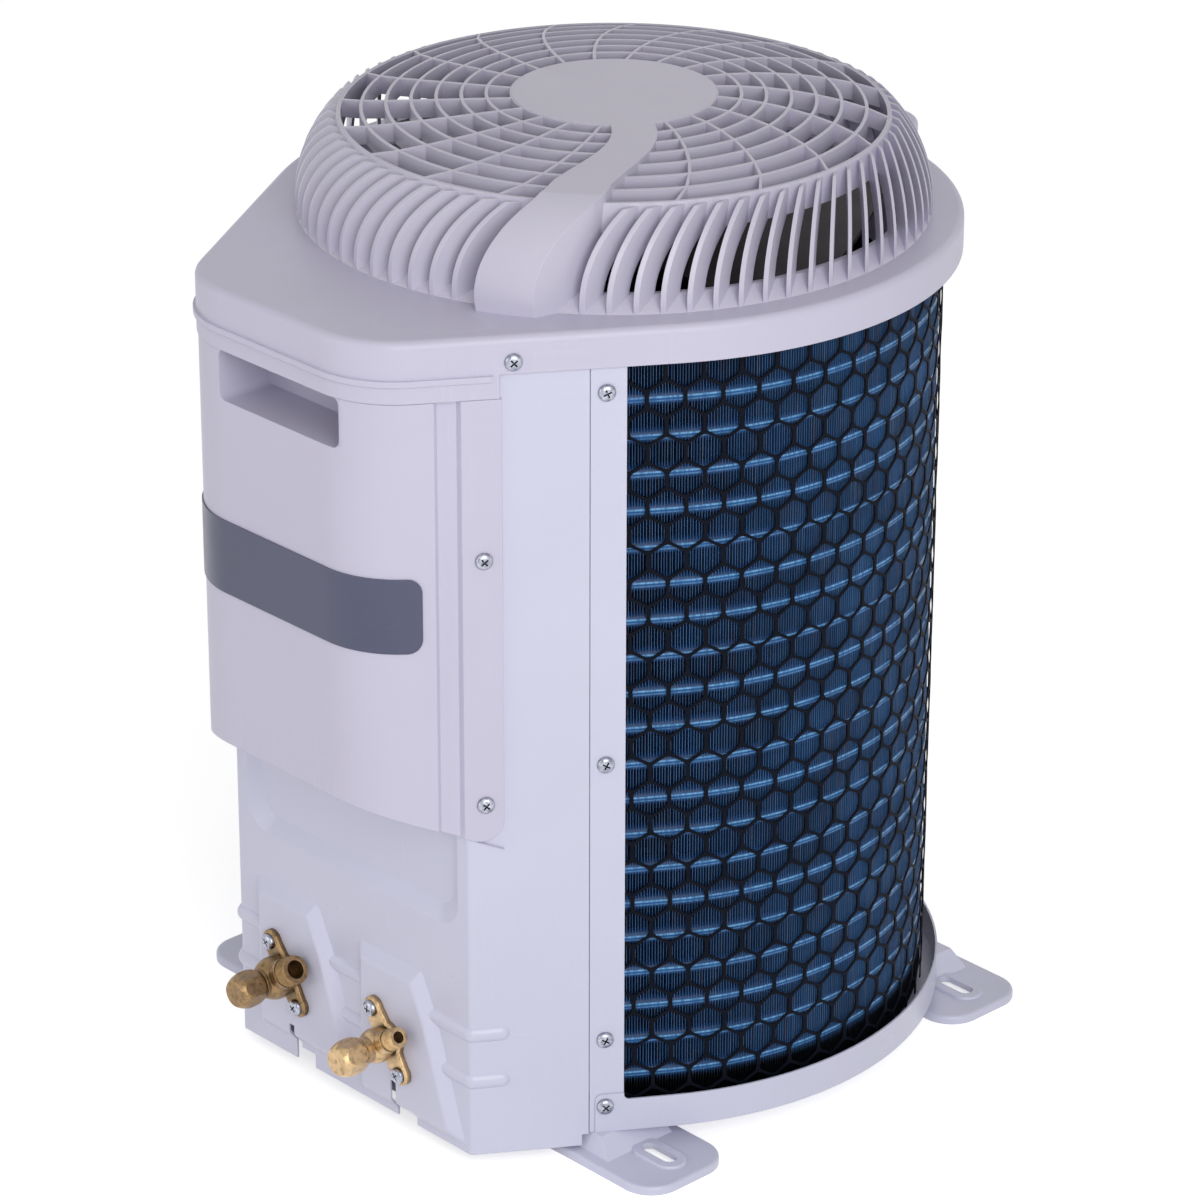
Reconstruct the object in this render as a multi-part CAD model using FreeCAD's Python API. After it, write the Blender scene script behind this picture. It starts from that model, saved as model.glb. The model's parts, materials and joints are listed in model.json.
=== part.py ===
import FreeCAD, Part
import math
import os

# Barrel-type outdoor condensing unit: a C-shaped coil round a compressor, a flat service
# nose towards -Y, a top cover and a domed fan guard. Millimetres, Z up, floor at z = 0.
# Plan positions are measured from the barrel axis; AXIS_Y moves that axis so that the
# origin lies at the middle of the object's footprint.

Vector = FreeCAD.Vector
UP = Vector(0, 0, 1)
RIGHT = 1
LEFT = -1
SIDES = (RIGHT, LEFT)

# Fits and general clearances
FIT_GAP = 0.3
RUN_GAP = 0.05
SHEET = 1.2
FACE_GAP = 0.1
PLASTIC = 2.4

# Barrel and service nose in plan
SIDE_TURN = 57.2
HULL_R = 189.4
LID_NOSE = HULL_R + 52.9
LID_CORNER = 51.0
STEEL_R = HULL_R - PLASTIC - FIT_GAP
STEEL_NOSE = HULL_R + 5.1
STEEL_BEND = 3.0


def nose_half(d, nose):
    """Half the width of a nose face at y = -nose between side faces that lie d from the axis."""
    turn = math.radians(SIDE_TURN)
    return (d - nose * math.cos(turn)) / math.sin(turn)


# Levels
FOOT_TOP = 5.0
PAN_Z = 15.3
PAN_RIM_Z = 34.5
STEEL_Z0 = 7.4
STEEL_Z1 = 480.5
LID_Z1 = 483.5
SKIRT_Z = 463.0
STRAP_Z = 450.0

# Positions along a side face, counted from where the round back begins
STRAP_S = -93.0
SEAM_S = -46.3
SEAM_GAP = 0.4
STRIP_EDGE_S = -27.0
STRIP_RETURN = 7.5
TONGUE_L = 6.0
TONGUE_ROOT = 3.0
TONGUE_RISE = 24.0

# Top cover
LID_FILLET = 4.0
LID_OPENING_R = HULL_R - 36.8
COLLAR_DROP = 42.0
BEAD_Z = 459.6
BEAD_H = 3.4
BEAD_OUT = 1.6
BEAD_S = -97.0
EAR_REACH = HULL_R + 37.0
EAR_ROUND_R = 26.0
EAR_HALF = 47.0
EAR_Z0 = 471.0
EAR_TANGENT_R = HULL_R - 6.4
LID_SCREW_S = -86.1
LID_SCREW_Z = 469.6
AXIS_Y = (LID_NOSE + BEAD_OUT - EAR_REACH) / 2

# Fan guard: radii and heights above the top cover
GUARD_R = HULL_R - 17.4
GUARD_RIM_R = GUARD_R - 23.1
GUARD_RIM_T = 2.4
GUARD_RIM_H = 52.1
GUARD_BAND_H = 15.5
GUARD_BAND_DRAFT = 2.1
GUARD_HUB_R = 55.0
GUARD_HUB_H = 61.9
GUARD_HUB_T = 3.0
GUARD_CROWN_R = 105.0
GUARD_CROWN_H = 58.9
RIB_DEPTH = 10.0
RIB_T = 1.9
RING_GAPS = 7
SPOKES = 20
SPOKE_PHASE = -31.2
SPOKE_SWEEP = 17.0
SPOKE_EASE = 0.75
VANES = 78
VANES_LEFT_OUT = 4
VANE_PHASE = -48.6
VANE_LEAN = 45.0
VANE_T = 2.0
VANE_DEPTH = 8.5
VANE_ARC_R = 64.0
VANE_ARC_Z = 5.0
VANE_PLATE = 40.0
BASE_RING_W = 12.0
BASE_RING_H = 8.0
BASE_RING_SHELF = 3.0
BOSS_R = 4.5
BOSS_H = 4.0

# Motor lead arm of the guard
ARM_HUB_ANGLE = -33.0
ARM_RIM_ANGLE = -51.0
ARM_BASE_ANGLE = -61.0
ARM_BASE_R = GUARD_R + 9.0
ARM_SHOULDER_R = GUARD_RIM_R + 1.1
ARM_SHOULDER_H = 57.0
ARM_KNEE_R = GUARD_R + 1.5
ARM_KNEE_H = 37.0
ARM_HUB_HALF = 11.6
ARM_BASE_HALF = 16.0
ARM_STEPS = 14
ARM_WALL = 2.4

# Motor and impeller
MOTOR_R = 41.0
MOTOR_Z0 = 490.0
MOTOR_LUGS = 4
MOTOR_LUG_R = 46.6
MOTOR_LUG_PAD = 5.4
MOTOR_LUG_T = 4.0
MOTOR_NOSE_R = 14.0
MOTOR_ROUND = 5.0
MOTOR_NOSE_H = 6.0
SHAFT_R = 4.0
SHAFT_DEEP = 20.0
SHAFT_Z0 = 436.0
FAN_R = LID_OPENING_R - 3.6
FAN_HUB_R = 60.0
FAN_HUB_Z0 = 464.0
FAN_HUB_Z1 = 506.0
FAN_BOSS_R = 12.0
FAN_BOSS_Z0 = 448.0
FAN_WALL = 2.6
FAN_BLADES = 3
FAN_PHASE = 20.0
BLADE_MID_Z = 486.0
BLADE_ROOT_CHORD = 76.0
BLADE_MID_CHORD = 112.0
BLADE_TIP_CHORD = 128.0
BLADE_ROOT_PITCH = 36.0
BLADE_MID_PITCH = 27.0
BLADE_TIP_PITCH = 20.0
BLADE_T = 2.6
BLADE_CAMBER = 0.06
NUT_AF = 13.0
NUT_H = 6.5

# Service cover on the nose
COVER_NOSE = LID_NOSE - 1.1
COVER_R = STEEL_R + 2.0
COVER_CORNER = 50.0
COVER_Z1 = STRAP_Z - 0.5
COVER_T = 2.0
COVER_END_S = -92.0
COVER_STEP_S = -113.0
COVER_WALL_S = -127.0
COVER_CHANNEL = 3.4
COVER_CHAMFER = 2.0
COVER_FRONT_Z0 = 221.0
COVER_SLOPE = 0.45
COVER_TAB_R = 12.0
COVER_SCREW_S = -101.8
COVER_SCREW_ZS = (360.4, 220.3)
POCKET_X0 = 26.0 - nose_half(COVER_R, COVER_NOSE)
POCKET_X1 = nose_half(COVER_R, COVER_NOSE) - 17.0
POCKET_Z0 = 421.5
POCKET_DEPTH = 33.0
POCKET_R = 5.0

# Bare plate on the service cover
PLATE_Z0 = 311.0
PLATE_Z1 = 353.0
PLATE_T = 0.9
PLATE_END_S = -134.0
PLATE_R = 8.0

# Steel service panel
RECESS_HALF = nose_half(STEEL_R, STEEL_NOSE) - 8.8
RECESS_Z0 = 141.0
RECESS_Z1 = 246.0
RECESS_DEPTH = 5.0
RECESS_DRAFT = 9.0
RECESS_R = 16.0
PAD_OUT = 5.5
PAD_DRAFT = 7.0
PAD_ROUND = 3.5
PAD_ABOVE = 41.0
PAD_BELOW = 38.0
PAD_LEFT = 24.0
PAD_RIGHT_TOP = 17.0
PAD_RIGHT_MID = 27.0
PAD_RIGHT_LOW = 46.0
RIDGE_ZS = (81.5, 53.0)
RIDGE_R = 5.4
RIDGE_OUT = 2.4
RIDGE_END_S = -94.0
SIDE_STEP_S = -50.0
SIDE_STEP_Z = 14.2
SLIT_W = 4.4
SLIT_TOP = 31.5
NOTCH_W = 11.5
NOTCH_TOP = 15.8
SLIT_OFF = 2.0
PIPE_HOLE_GAP = 3.2

# Service valves: gas and liquid
VALVE_TILT = 34.0
VALVE_Y = STEEL_NOSE + PAD_OUT
FLANGE_T = 4.0
FLANGE_ROUND = 1.2
FLANGE_SPAN = 39.6
FLANGE_END_R = 6.4
FLANGE_MID_R = 11.5
VALVE_BODY_L = 21.0
VALVE_NECK_R = 6.4
VALVE_NECK_L = 8.0
PORT_Y = VALVE_Y + 10.0
PORT_L = 23.0
PORT_COLLAR = 14.0
PORT_BORE_L = 16.0
STUB_L = 14.0
STUB_SOCKET = 8.0
STUB_WALL = 1.9
STEM_R = 3.5
STEM_L = 25.0
STEM_OUT = 2.2
STEM_KEY_AF = 4.0
STEM_KEY_DEEP = 3.0
CAP_AF = 18.0
CAP_L = 17.0
CAP_WALL = 3.4
CAP_BORE_R = VALVE_NECK_R + FIT_GAP + 0.1
CAP_CROWN = 2.2
GAS = {
    "x": -49.6, "z": 64.0, "ball_r": 12.2, "body_r": 8.6,
    "port_r": 8.8, "thread_r": 7.94, "bore_r": 5.3, "pipe_r": 4.76,
}
LIQUID = {
    "x": 36.8, "z": 56.8, "ball_r": 9.9, "body_r": 7.6,
    "port_r": 6.6, "thread_r": 5.55, "bore_r": 3.3, "pipe_r": 3.175,
}
VALVES = {"gas": GAS, "liquid": LIQUID}

# Screws
SCREW_HEAD_R = 4.65
SCREW_HEAD_H = 2.8
SCREW_HEAD_ROUND = 1.7
SCREW_R = 1.9
SCREW_HOLE_R = 2.2
SCREW_L = 9.0
STRIP_SCREW_S = -37.5
STRIP_SCREW_ZS = (448.6, 237.5, 72.1)
RIM_SCREW_Z = 31.5

# Coil and net
NET_T = 0.8
NET_R = STEEL_R - STRIP_RETURN - NET_T / 2
NET_END_S = STRIP_EDGE_S + FIT_GAP
NET_Z0 = 21.0
NET_Z1 = 472.0
COIL_R1 = NET_R - 1.0
COIL_R0 = COIL_R1 - 20.0
COIL_END_S = -34.0
COIL_Z0 = 20.5
COIL_Z1 = 478.0
COIL_TUBE_R = 3.5
COIL_TUBE_D = COIL_R1 - 10.0
COIL_PITCH = 20.8
COIL_ROW_Z = 44.0
COIL_ROWS = 20
BEND_LEG = 2.0
END_PLATE_T = 1.2
END_PLATE_FLANGE = 9.0
FIN_SHOW = 3.6
FIN_T = 1.0
FIN_STEP = 27.0
ROW_BEAD_OUT = 3.2
ROW_BEAD_HALF = 3.5
ROW_BEAD_FLAT = 1.6

# Base pan and foot rails
PAN_R = STEEL_R + SHEET + 0.1
PAN_TAB_S = -43.0
PAN_TAB_Z = 38.5
PAN_TAB_R = 3.8
PAN_CORNER_R = 3.0
PAN_NOSE_GAP = 0.4
PAN_FRONT_GAP = 5.0
PLATFORM_R = 80.0
PLATFORM_H = 5.0
SEAT_W = 12.0
DRAIN_R = 9.0
DRAIN_AT_R = HULL_R - 71.4
DRAIN_ANGLE = 126.4
FRONT_RAIL = {"y": 71.4 - HULL_R, "half": HULL_R + 0.6, "slot_x": HULL_R - 26.4, "slot_y": 72.9 - HULL_R}
REAR_RAIL = {"y": HULL_R - 51.4, "half": HULL_R - 18.9, "slot_x": HULL_R - 46.9, "slot_y": HULL_R - 49.9}
RAIL_W = 63.0
RAIL_R = 19.0
RAIL_T = 1.8
RAIL_HAT_W = 40.0
RAIL_HAT_BACK = 50.0
RAIL_HAT_SLOPE = 14.0
RAIL_LIP = 2.0
SLOT_L = 24.0
SLOT_R = 4.25
SLOT_RIM = 5.5
SLOT_RIM_H = 1.6
BOLT_BACK = 125.0
BOLT_R = 3.0
BOLT_HEAD_AF = 10.0
BOLT_HEAD_H = 4.0
BOLT_L = 10.0

# Compressor and accumulator
COMP_X = 22.0
COMP_Y = 0.0
COMP_R = 56.0
COMP_Z0 = 27.5
COMP_H = 232.0
COMP_DOME = 26.0
COMP_BAND = 1.5
COMP_BAND_H = 10.0
COMP_FEET = 3
COMP_FOOT_R = 66.0
COMP_FOOT_PAD = 13.0
COMP_FOOT_T = 3.0
COMP_FOOT_PHASE = 30.0
GROMMET_R = 10.5
GROMMET_H = 12.0
STUD_R = 3.0
STUD_TOP = 12.0
TERMINAL_R = 19.0
TERMINAL_H = 22.0
TERMINAL_X = 26.0
DISCHARGE_R = 4.76
ACC_X = -66.0
ACC_Y = 8.0
ACC_R = 26.0
ACC_Z0 = 62.0
ACC_H = 140.0
ACC_ELBOW_Z = 47.0
ACC_PIPE_R = 6.35
STRAP_H = 16.0

# Pipes
BEND_R = 16.0
SUCTION_TOP = 240.0
SUCTION_SWING = 20.0
SUCTION_DROP = 60.0
SUCTION_Y = 66.5 - STEEL_NOSE
DISCHARGE_TOP = 305.0
RISER_S = -78.0
LIQUID_Y = 44.5 - STEEL_NOSE
LIQUID_RISE = 138.0
STRAINER_R = 9.0
STRAINER_L = 46.0

# Electrical parts behind the cover
BLOCK_X = 26.0
BLOCK_Z = 272.0
BLOCK_L = 70.0
BLOCK_END = 12.0
BLOCK_SCREW_IN = 5.8
BLOCK_H = 24.0
BLOCK_D = 14.0
BLOCK_RIB = 2.2
BLOCK_RIB_OUT = 6.0
BLOCK_WAYS = 5
CAP_CAN_R = 19.5
CAP_CAN_X = -36.0
CAP_CAN_Z0 = 318.0
CAP_CAN_H = 84.0
CAN_CLAMP_H = 12.0
CAN_CLAMP_T = 1.4
CAN_FOOT = 14.0


def side_normal(side):
    """Outward normal of a flat side face."""
    turn = math.radians(SIDE_TURN)
    return Vector(side * math.sin(turn), -math.cos(turn), 0)


def side_along(side):
    """Direction along a side face, from the nose to the round back."""
    turn = math.radians(SIDE_TURN)
    return Vector(side * math.cos(turn), math.sin(turn), 0)


def side_point(side, s, d, z):
    """Point at s along a side face and d out from the barrel axis."""
    return side_normal(side) * d + side_along(side) * s + Vector(0, 0, z)


def polar(r, degrees, z):
    angle = math.radians(degrees)
    return Vector(r * math.cos(angle), r * math.sin(angle), z)


def polygon(points):
    return Part.Face(Part.makePolygon(points + [points[0]]))


def line(a, b):
    return Part.makeLine(a, b)


def arc(a, b, c):
    return Part.Arc(a, b, c).toShape()


def face_of(edges):
    return Part.Face(Part.Wire(edges))


def cylinder(r, start, end):
    axis = end - start
    return Part.makeCylinder(r, axis.Length, start, axis)


def ring(r1, r0, z0, z1):
    outer = Part.makeCylinder(r1, z1 - z0, Vector(0, 0, z0))
    return outer.cut(Part.makeCylinder(r0, z1 - z0, Vector(0, 0, z0)))


def box(x0, x1, y0, y1, z0, z1):
    return Part.makeBox(x1 - x0, y1 - y0, z1 - z0, Vector(x0, y0, z0))


def side_box(side, s0, s1, d0, d1, z0, z1):
    corners = [(s0, d0), (s1, d0), (s1, d1), (s0, d1)]
    base = polygon([side_point(side, s, d, z0) for s, d in corners])
    return base.extrude(UP * (z1 - z0))


def revolved(face, degrees=360.0):
    return face.revolve(Vector(0, 0, 0), UP, degrees)


def mirrored(shape):
    return shape.mirror(Vector(0, 0, 0), Vector(1, 0, 0))


def turned(shape, degrees):
    copy = shape.copy()
    copy.rotate(Vector(0, 0, 0), UP, degrees)
    return copy


def fused(shapes):
    first = shapes[0]
    rest = shapes[1:]
    return first.multiFuse(rest).removeSplitter() if rest else first


def both_sides(right_shape):
    return [right_shape, mirrored(right_shape)]


def corner_s(d, nose):
    """Where the line at distance d meets the nose plane, as s along the side face."""
    turn = math.radians(SIDE_TURN)
    return (d * math.cos(turn) - nose) / math.sin(turn)


def corner_arc(side, d, nose, corner, z):
    """Start, middle and end of the rounded nose corner, from side face to nose."""
    turn = math.radians(SIDE_TURN)
    start_s = corner_s(d, nose) + corner * math.tan(turn / 2)
    start = side_point(side, start_s, d, z)
    centre = side_point(side, start_s, d - corner, z)
    middle = centre + Vector(side * math.sin(turn / 2), -math.cos(turn / 2), 0) * corner
    end = Vector(centre.x, -nose, z)
    return start, middle, end


def hull_face(d, nose, corner, z):
    """Plan outline: round back, two straight sides, flat nose with rounded corners."""
    right = corner_arc(RIGHT, d, nose, corner, z)
    left = corner_arc(LEFT, d, nose, corner, z)
    back_right = side_point(RIGHT, 0, d, z)
    back_left = side_point(LEFT, 0, d, z)
    edges = [
        arc(back_right, Vector(0, d, z), back_left),
        line(back_left, left[0]),
        arc(left[0], left[1], left[2]),
        line(left[2], right[2]),
        arc(right[2], right[1], right[0]),
        line(right[0], back_right),
    ]
    return face_of(edges)


def hull(d, nose, corner, z0, z1):
    return hull_face(d, nose, corner, z0).extrude(UP * (z1 - z0))


def barrel_band(d1, d0, end_s, z0, z1):
    """C-shaped wall of the round back with straight tails along both sides."""
    edges = [
        line(side_point(RIGHT, end_s, d1, z0), side_point(RIGHT, 0, d1, z0)),
        arc(side_point(RIGHT, 0, d1, z0), Vector(0, d1, z0), side_point(LEFT, 0, d1, z0)),
        line(side_point(LEFT, 0, d1, z0), side_point(LEFT, end_s, d1, z0)),
        line(side_point(LEFT, end_s, d1, z0), side_point(LEFT, end_s, d0, z0)),
        line(side_point(LEFT, end_s, d0, z0), side_point(LEFT, 0, d0, z0)),
        arc(side_point(LEFT, 0, d0, z0), Vector(0, d0, z0), side_point(RIGHT, 0, d0, z0)),
        line(side_point(RIGHT, 0, d0, z0), side_point(RIGHT, end_s, d0, z0)),
        line(side_point(RIGHT, end_s, d0, z0), side_point(RIGHT, end_s, d1, z0)),
    ]
    return face_of(edges).extrude(UP * (z1 - z0))


def corner_waste(side, corner, edge_a, edge_b, radius, d0, d1):
    """Material outside a rounded corner on a side face, in s and z, between two edges."""
    a = Vector(edge_a).normalize()
    b = Vector(edge_b).normalize()
    half = a.getAngle(b) / 2
    reach = radius / math.tan(half)
    middle = corner + (a + b).normalize() * (radius / math.sin(half))
    outline = [corner, corner + a * reach, middle, corner + b * reach]
    thickness = side_normal(side) * (d1 - d0)
    block = polygon([side_point(side, p.x, d0, p.z) for p in outline]).extrude(thickness)
    start = side_point(side, middle.x, d0 - 1, middle.z)
    return block.cut(cylinder(radius, start, start + side_normal(side) * (d1 - d0 + 2)))


def slot_face(cx, cy, z, length, r):
    """Plan outline of a slot that runs along X."""
    reach = length / 2 - r
    edges = [
        line(Vector(cx - reach, cy - r, z), Vector(cx + reach, cy - r, z)),
        arc(Vector(cx + reach, cy - r, z), Vector(cx + reach + r, cy, z), Vector(cx + reach, cy + r, z)),
        line(Vector(cx + reach, cy + r, z), Vector(cx - reach, cy + r, z)),
        arc(Vector(cx - reach, cy + r, z), Vector(cx - reach - r, cy, z), Vector(cx - reach, cy - r, z)),
    ]
    return face_of(edges)


def rounded_rect_wire(x0, x1, z0, z1, r, y):
    """Upright rounded rectangle in the plane at y."""
    k = r * (1 - math.sqrt(0.5))

    def p(x, z):
        return Vector(x, y, z)

    edges = [
        line(p(x0 + r, z0), p(x1 - r, z0)),
        arc(p(x1 - r, z0), p(x1 - k, z0 + k), p(x1, z0 + r)),
        line(p(x1, z0 + r), p(x1, z1 - r)),
        arc(p(x1, z1 - r), p(x1 - k, z1 - k), p(x1 - r, z1)),
        line(p(x1 - r, z1), p(x0 + r, z1)),
        arc(p(x0 + r, z1), p(x0 + k, z1 - k), p(x0, z1 - r)),
        line(p(x0, z1 - r), p(x0, z0 + r)),
        arc(p(x0, z0 + r), p(x0 + k, z0 + k), p(x0 + r, z0)),
    ]
    return Part.Wire(edges)


def hexagon(across_flats, centre, axis, length, turn=0.0):
    """Hexagonal bar from centre along axis."""
    r = across_flats / math.sqrt(3)
    points = [polar(r, 60 * i + turn, 0) for i in range(6)]
    bar = polygon(points).extrude(UP * length)
    bar.Placement = FreeCAD.Placement(centre, FreeCAD.Rotation(UP, axis))
    return bar


def along(point, axis):
    return FreeCAD.Placement(point, FreeCAD.Rotation(UP, axis))


def screw(seat, outward, length=SCREW_L):
    """Pan-head screw with its head's underside at seat."""
    head = Part.makeCylinder(SCREW_HEAD_R, SCREW_HEAD_H)
    crown = [e for e in head.Edges if e.BoundBox.ZMin > SCREW_HEAD_H / 2]
    head = head.makeFillet(SCREW_HEAD_ROUND, crown)
    shank = Part.makeCylinder(SCREW_R, length + SCREW_HEAD_H / 2, Vector(0, 0, -length))
    body = fused([head, shank])
    body.Placement = along(seat, outward)
    return body


def drill(shape, places, depth=SCREW_L + 4.0, r=SCREW_HOLE_R):
    """Clearance holes for screws given as (seat, outward) pairs."""
    for seat, outward in places:
        shape = shape.cut(cylinder(r, seat + outward * 4.0, seat - outward * depth))
    return shape


def bend(r, start, into, out, radius):
    """Quarter, half or other bend of a round bar, from start, turning into the way out."""
    axis = into.cross(out).normalize()
    centre = start + axis.cross(into) * radius
    disc = Part.Face(Part.Wire([Part.makeCircle(r, start, into)]))
    return disc.revolve(centre, axis, math.degrees(into.getAngle(out)))


def pipe(points, r):
    """Round bar along a path whose corners are bends."""
    pieces = []
    start = points[0]
    for before, corner, after in zip(points, points[1:], points[2:]):
        into = (corner - before).normalize()
        out = (after - corner).normalize()
        reach = BEND_R * math.tan(into.getAngle(out) / 2)
        pieces.append(cylinder(r, start, corner - into * reach))
        pieces.append(bend(r, corner - into * reach, into, out, BEND_R))
        start = corner + out * reach
    pieces.append(cylinder(r, start, points[-1]))
    return fused(pieces)


# Screw places

def side_places(s, d, levels):
    return [(side_point(side, s, d, z), side_normal(side)) for side in SIDES for z in levels]


def lid_screw_places():
    return side_places(LID_SCREW_S, HULL_R, (LID_SCREW_Z,))


def cover_screw_places():
    return side_places(COVER_SCREW_S, COVER_R, COVER_SCREW_ZS)


def strip_screw_places():
    return side_places(STRIP_SCREW_S, STEEL_R, STRIP_SCREW_ZS)


def rim_screw_places():
    return side_places(STRIP_SCREW_S, PAN_R, (RIM_SCREW_Z,))


def valve_screw_places():
    places = []
    tilt = math.radians(VALVE_TILT)
    lengthwise = Vector(-math.sin(tilt), 0, math.cos(tilt))
    for valve in VALVES.values():
        centre = Vector(valve["x"], -VALVE_Y - FLANGE_T, valve["z"])
        for end in (1, -1):
            places.append((centre + lengthwise * (end * FLANGE_SPAN / 2), Vector(0, -1, 0)))
    return places


def motor_top():
    return LID_Z1 + GUARD_HUB_H - GUARD_HUB_T - BOSS_H


def motor_screw_places():
    z = motor_top() - MOTOR_LUG_T
    step = 360.0 / MOTOR_LUGS
    return [(polar(MOTOR_LUG_R, step * (i + 0.5), z), UP * -1) for i in range(MOTOR_LUGS)]


def can_screw_places():
    x = CAP_CAN_X + CAP_CAN_R + CAN_FOOT / 2 + CAN_CLAMP_T
    return [(Vector(x, -STEEL_NOSE - CAN_CLAMP_T, can_clamp_z()), Vector(0, -1, 0))]


def block_screw_places():
    z = BLOCK_Z
    y = -STEEL_NOSE - BLOCK_D
    reach = BLOCK_L / 2 - BLOCK_SCREW_IN
    return [(Vector(BLOCK_X + end * reach, y, z), Vector(0, -1, 0)) for end in (1, -1)]


def screws(places, length=SCREW_L):
    return Part.makeCompound([screw(seat, outward, length) for seat, outward in places])


# Top cover

def ear_solid():
    """Grip ear at the back: a rounded tab blended into the round edge."""
    shoulder = math.degrees(math.asin(EAR_HALF / EAR_TANGENT_R))
    a = polar(EAR_TANGENT_R, 90 - shoulder, EAR_Z0)
    b = polar(EAR_TANGENT_R, 90 + shoulder, EAR_Z0)
    tip_y = EAR_REACH - EAR_ROUND_R
    flank = math.radians(48.0)
    right = Vector(EAR_ROUND_R * math.sin(flank), tip_y + EAR_ROUND_R * math.cos(flank), EAR_Z0)
    left = Vector(-right.x, right.y, EAR_Z0)
    edges = [
        line(a, right),
        arc(right, Vector(0, EAR_REACH, EAR_Z0), left),
        line(left, b),
        line(b, a),
    ]
    ear = face_of(edges).extrude(UP * (LID_Z1 - EAR_Z0))
    tops = [e for e in ear.Edges if e.BoundBox.ZMin > LID_Z1 - 0.01 and e.CenterOfMass.y > EAR_TANGENT_R]
    return ear.makeFillet(LID_FILLET - 1.0, tops)


def lid_bead():
    """Raised bead round the deep skirt of the nose."""
    out = hull(HULL_R + BEAD_OUT, LID_NOSE + BEAD_OUT, LID_CORNER + BEAD_OUT, BEAD_Z, BEAD_Z + BEAD_H)
    core = hull(HULL_R - 1.0, LID_NOSE - 1.0, LID_CORNER - 1.0, BEAD_Z, BEAD_Z + BEAD_H)
    bead = out.cut(core)
    for side in SIDES:
        bead = bead.cut(side_box(side, BEAD_S, HULL_R, 0, HULL_R * 2, BEAD_Z, BEAD_Z + BEAD_H))
    return bead.common(box(-HULL_R, HULL_R, -LID_NOSE * 2, 0, BEAD_Z, BEAD_Z + BEAD_H))


def top_cover():
    outer = hull(HULL_R, LID_NOSE, LID_CORNER, STRAP_Z, LID_Z1)
    tops = [e for e in outer.Edges if e.BoundBox.ZMin > LID_Z1 - 0.01]
    outer = outer.makeFillet(LID_FILLET, tops)
    strap_y = side_point(RIGHT, STRAP_S, HULL_R, 0).y
    outer = outer.cut(box(-HULL_R, HULL_R, strap_y, HULL_R, STRAP_Z, SKIRT_Z))
    outer = outer.fuse(ear_solid())
    outer = outer.fuse(lid_bead())
    inner = hull(HULL_R - PLASTIC, LID_NOSE - PLASTIC, LID_CORNER - PLASTIC, STRAP_Z, LID_Z1 - PLASTIC)
    shell = outer.cut(inner)
    collar = ring(LID_OPENING_R + PLASTIC, LID_OPENING_R, LID_Z1 - COLLAR_DROP, LID_Z1 - PLASTIC)
    shell = shell.cut(cylinder(LID_OPENING_R, Vector(0, 0, STRAP_Z), Vector(0, 0, LID_Z1 + 1)))
    shell = shell.fuse(collar).removeSplitter()
    return drill(shell, lid_screw_places())


# Fan guard

def guard_z(height):
    return LID_Z1 + height


def spoke_angle(r):
    """How far a spoke has swept at radius r, in degrees from its rim end."""
    inward = (GUARD_RIM_R - r) / (GUARD_RIM_R - GUARD_HUB_R)
    return SPOKE_SWEEP * max(inward, 0.0) ** SPOKE_EASE


def grille_cell(r0, r1, phase):
    """One opening between two rings and two spokes, as a wire at z = 0."""
    step = 360.0 / SPOKES
    corners = []
    for r in (r0, r1):
        margin = math.degrees(RIB_T / 2 / r)
        start = phase + spoke_angle(r) + margin
        end = phase + step + spoke_angle(r) - margin
        corners.append((polar(r, start, 0), polar(r, (start + end) / 2, 0), polar(r, end, 0)))
    inner, outer = corners
    edges = [
        arc(inner[0], inner[1], inner[2]),
        line(inner[2], outer[2]),
        arc(outer[2], outer[1], outer[0]),
        line(outer[0], inner[0]),
    ]
    return Part.Wire(edges)


def grille_cells():
    step = (GUARD_RIM_R - GUARD_HUB_R) / RING_GAPS
    cells = []
    for k in range(RING_GAPS):
        r0 = GUARD_HUB_R + k * step + RIB_T / 2
        r1 = GUARD_HUB_R + (k + 1) * step - RIB_T / 2
        for j in range(SPOKES):
            cells.append(grille_cell(r0, r1, SPOKE_PHASE + j * 360.0 / SPOKES))
    return cells


def crown_arc(drop):
    """Domed line of the grille from the hub to the rim."""
    hub = Vector(GUARD_HUB_R - 1.0, 0, guard_z(GUARD_HUB_H - 0.3 - drop))
    crown = Vector(GUARD_CROWN_R, 0, guard_z(GUARD_CROWN_H - drop))
    rim = Vector(GUARD_RIM_R, 0, guard_z(GUARD_RIM_H - drop))
    return hub, crown, rim


def grille():
    """Rings and curved spokes cut from one domed slab."""
    outer = Part.Wire([Part.makeCircle(GUARD_RIM_R, Vector(0, 0, 0))])
    inner = Part.Wire([Part.makeCircle(GUARD_HUB_R - 1.0, Vector(0, 0, 0))])
    plan = Part.makeFace([outer, inner] + grille_cells(), "Part::FaceMakerBullseye")
    plan.translate(Vector(0, 0, LID_Z1))
    pillars = plan.extrude(UP * (GUARD_HUB_H + 1))
    top = crown_arc(0.0)
    low = crown_arc(RIB_DEPTH)
    edges = [
        arc(top[0], top[1], top[2]),
        line(top[2], low[2]),
        arc(low[2], low[1], low[0]),
        line(low[0], top[0]),
    ]
    return pillars.common(revolved(face_of(edges)))


def hub_plate():
    top = guard_z(GUARD_HUB_H)
    plate = Part.makeCylinder(GUARD_HUB_R, GUARD_HUB_T, Vector(0, 0, top - GUARD_HUB_T))
    skirt = ring(GUARD_HUB_R, GUARD_HUB_R - PLASTIC, top - RIB_DEPTH, top - GUARD_HUB_T)
    bosses = []
    for seat, outward in motor_screw_places():
        bosses.append(cylinder(BOSS_R, Vector(seat.x, seat.y, motor_top()), Vector(seat.x, seat.y, top - 1)))
    return fused([plate, skirt] + bosses)


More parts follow.
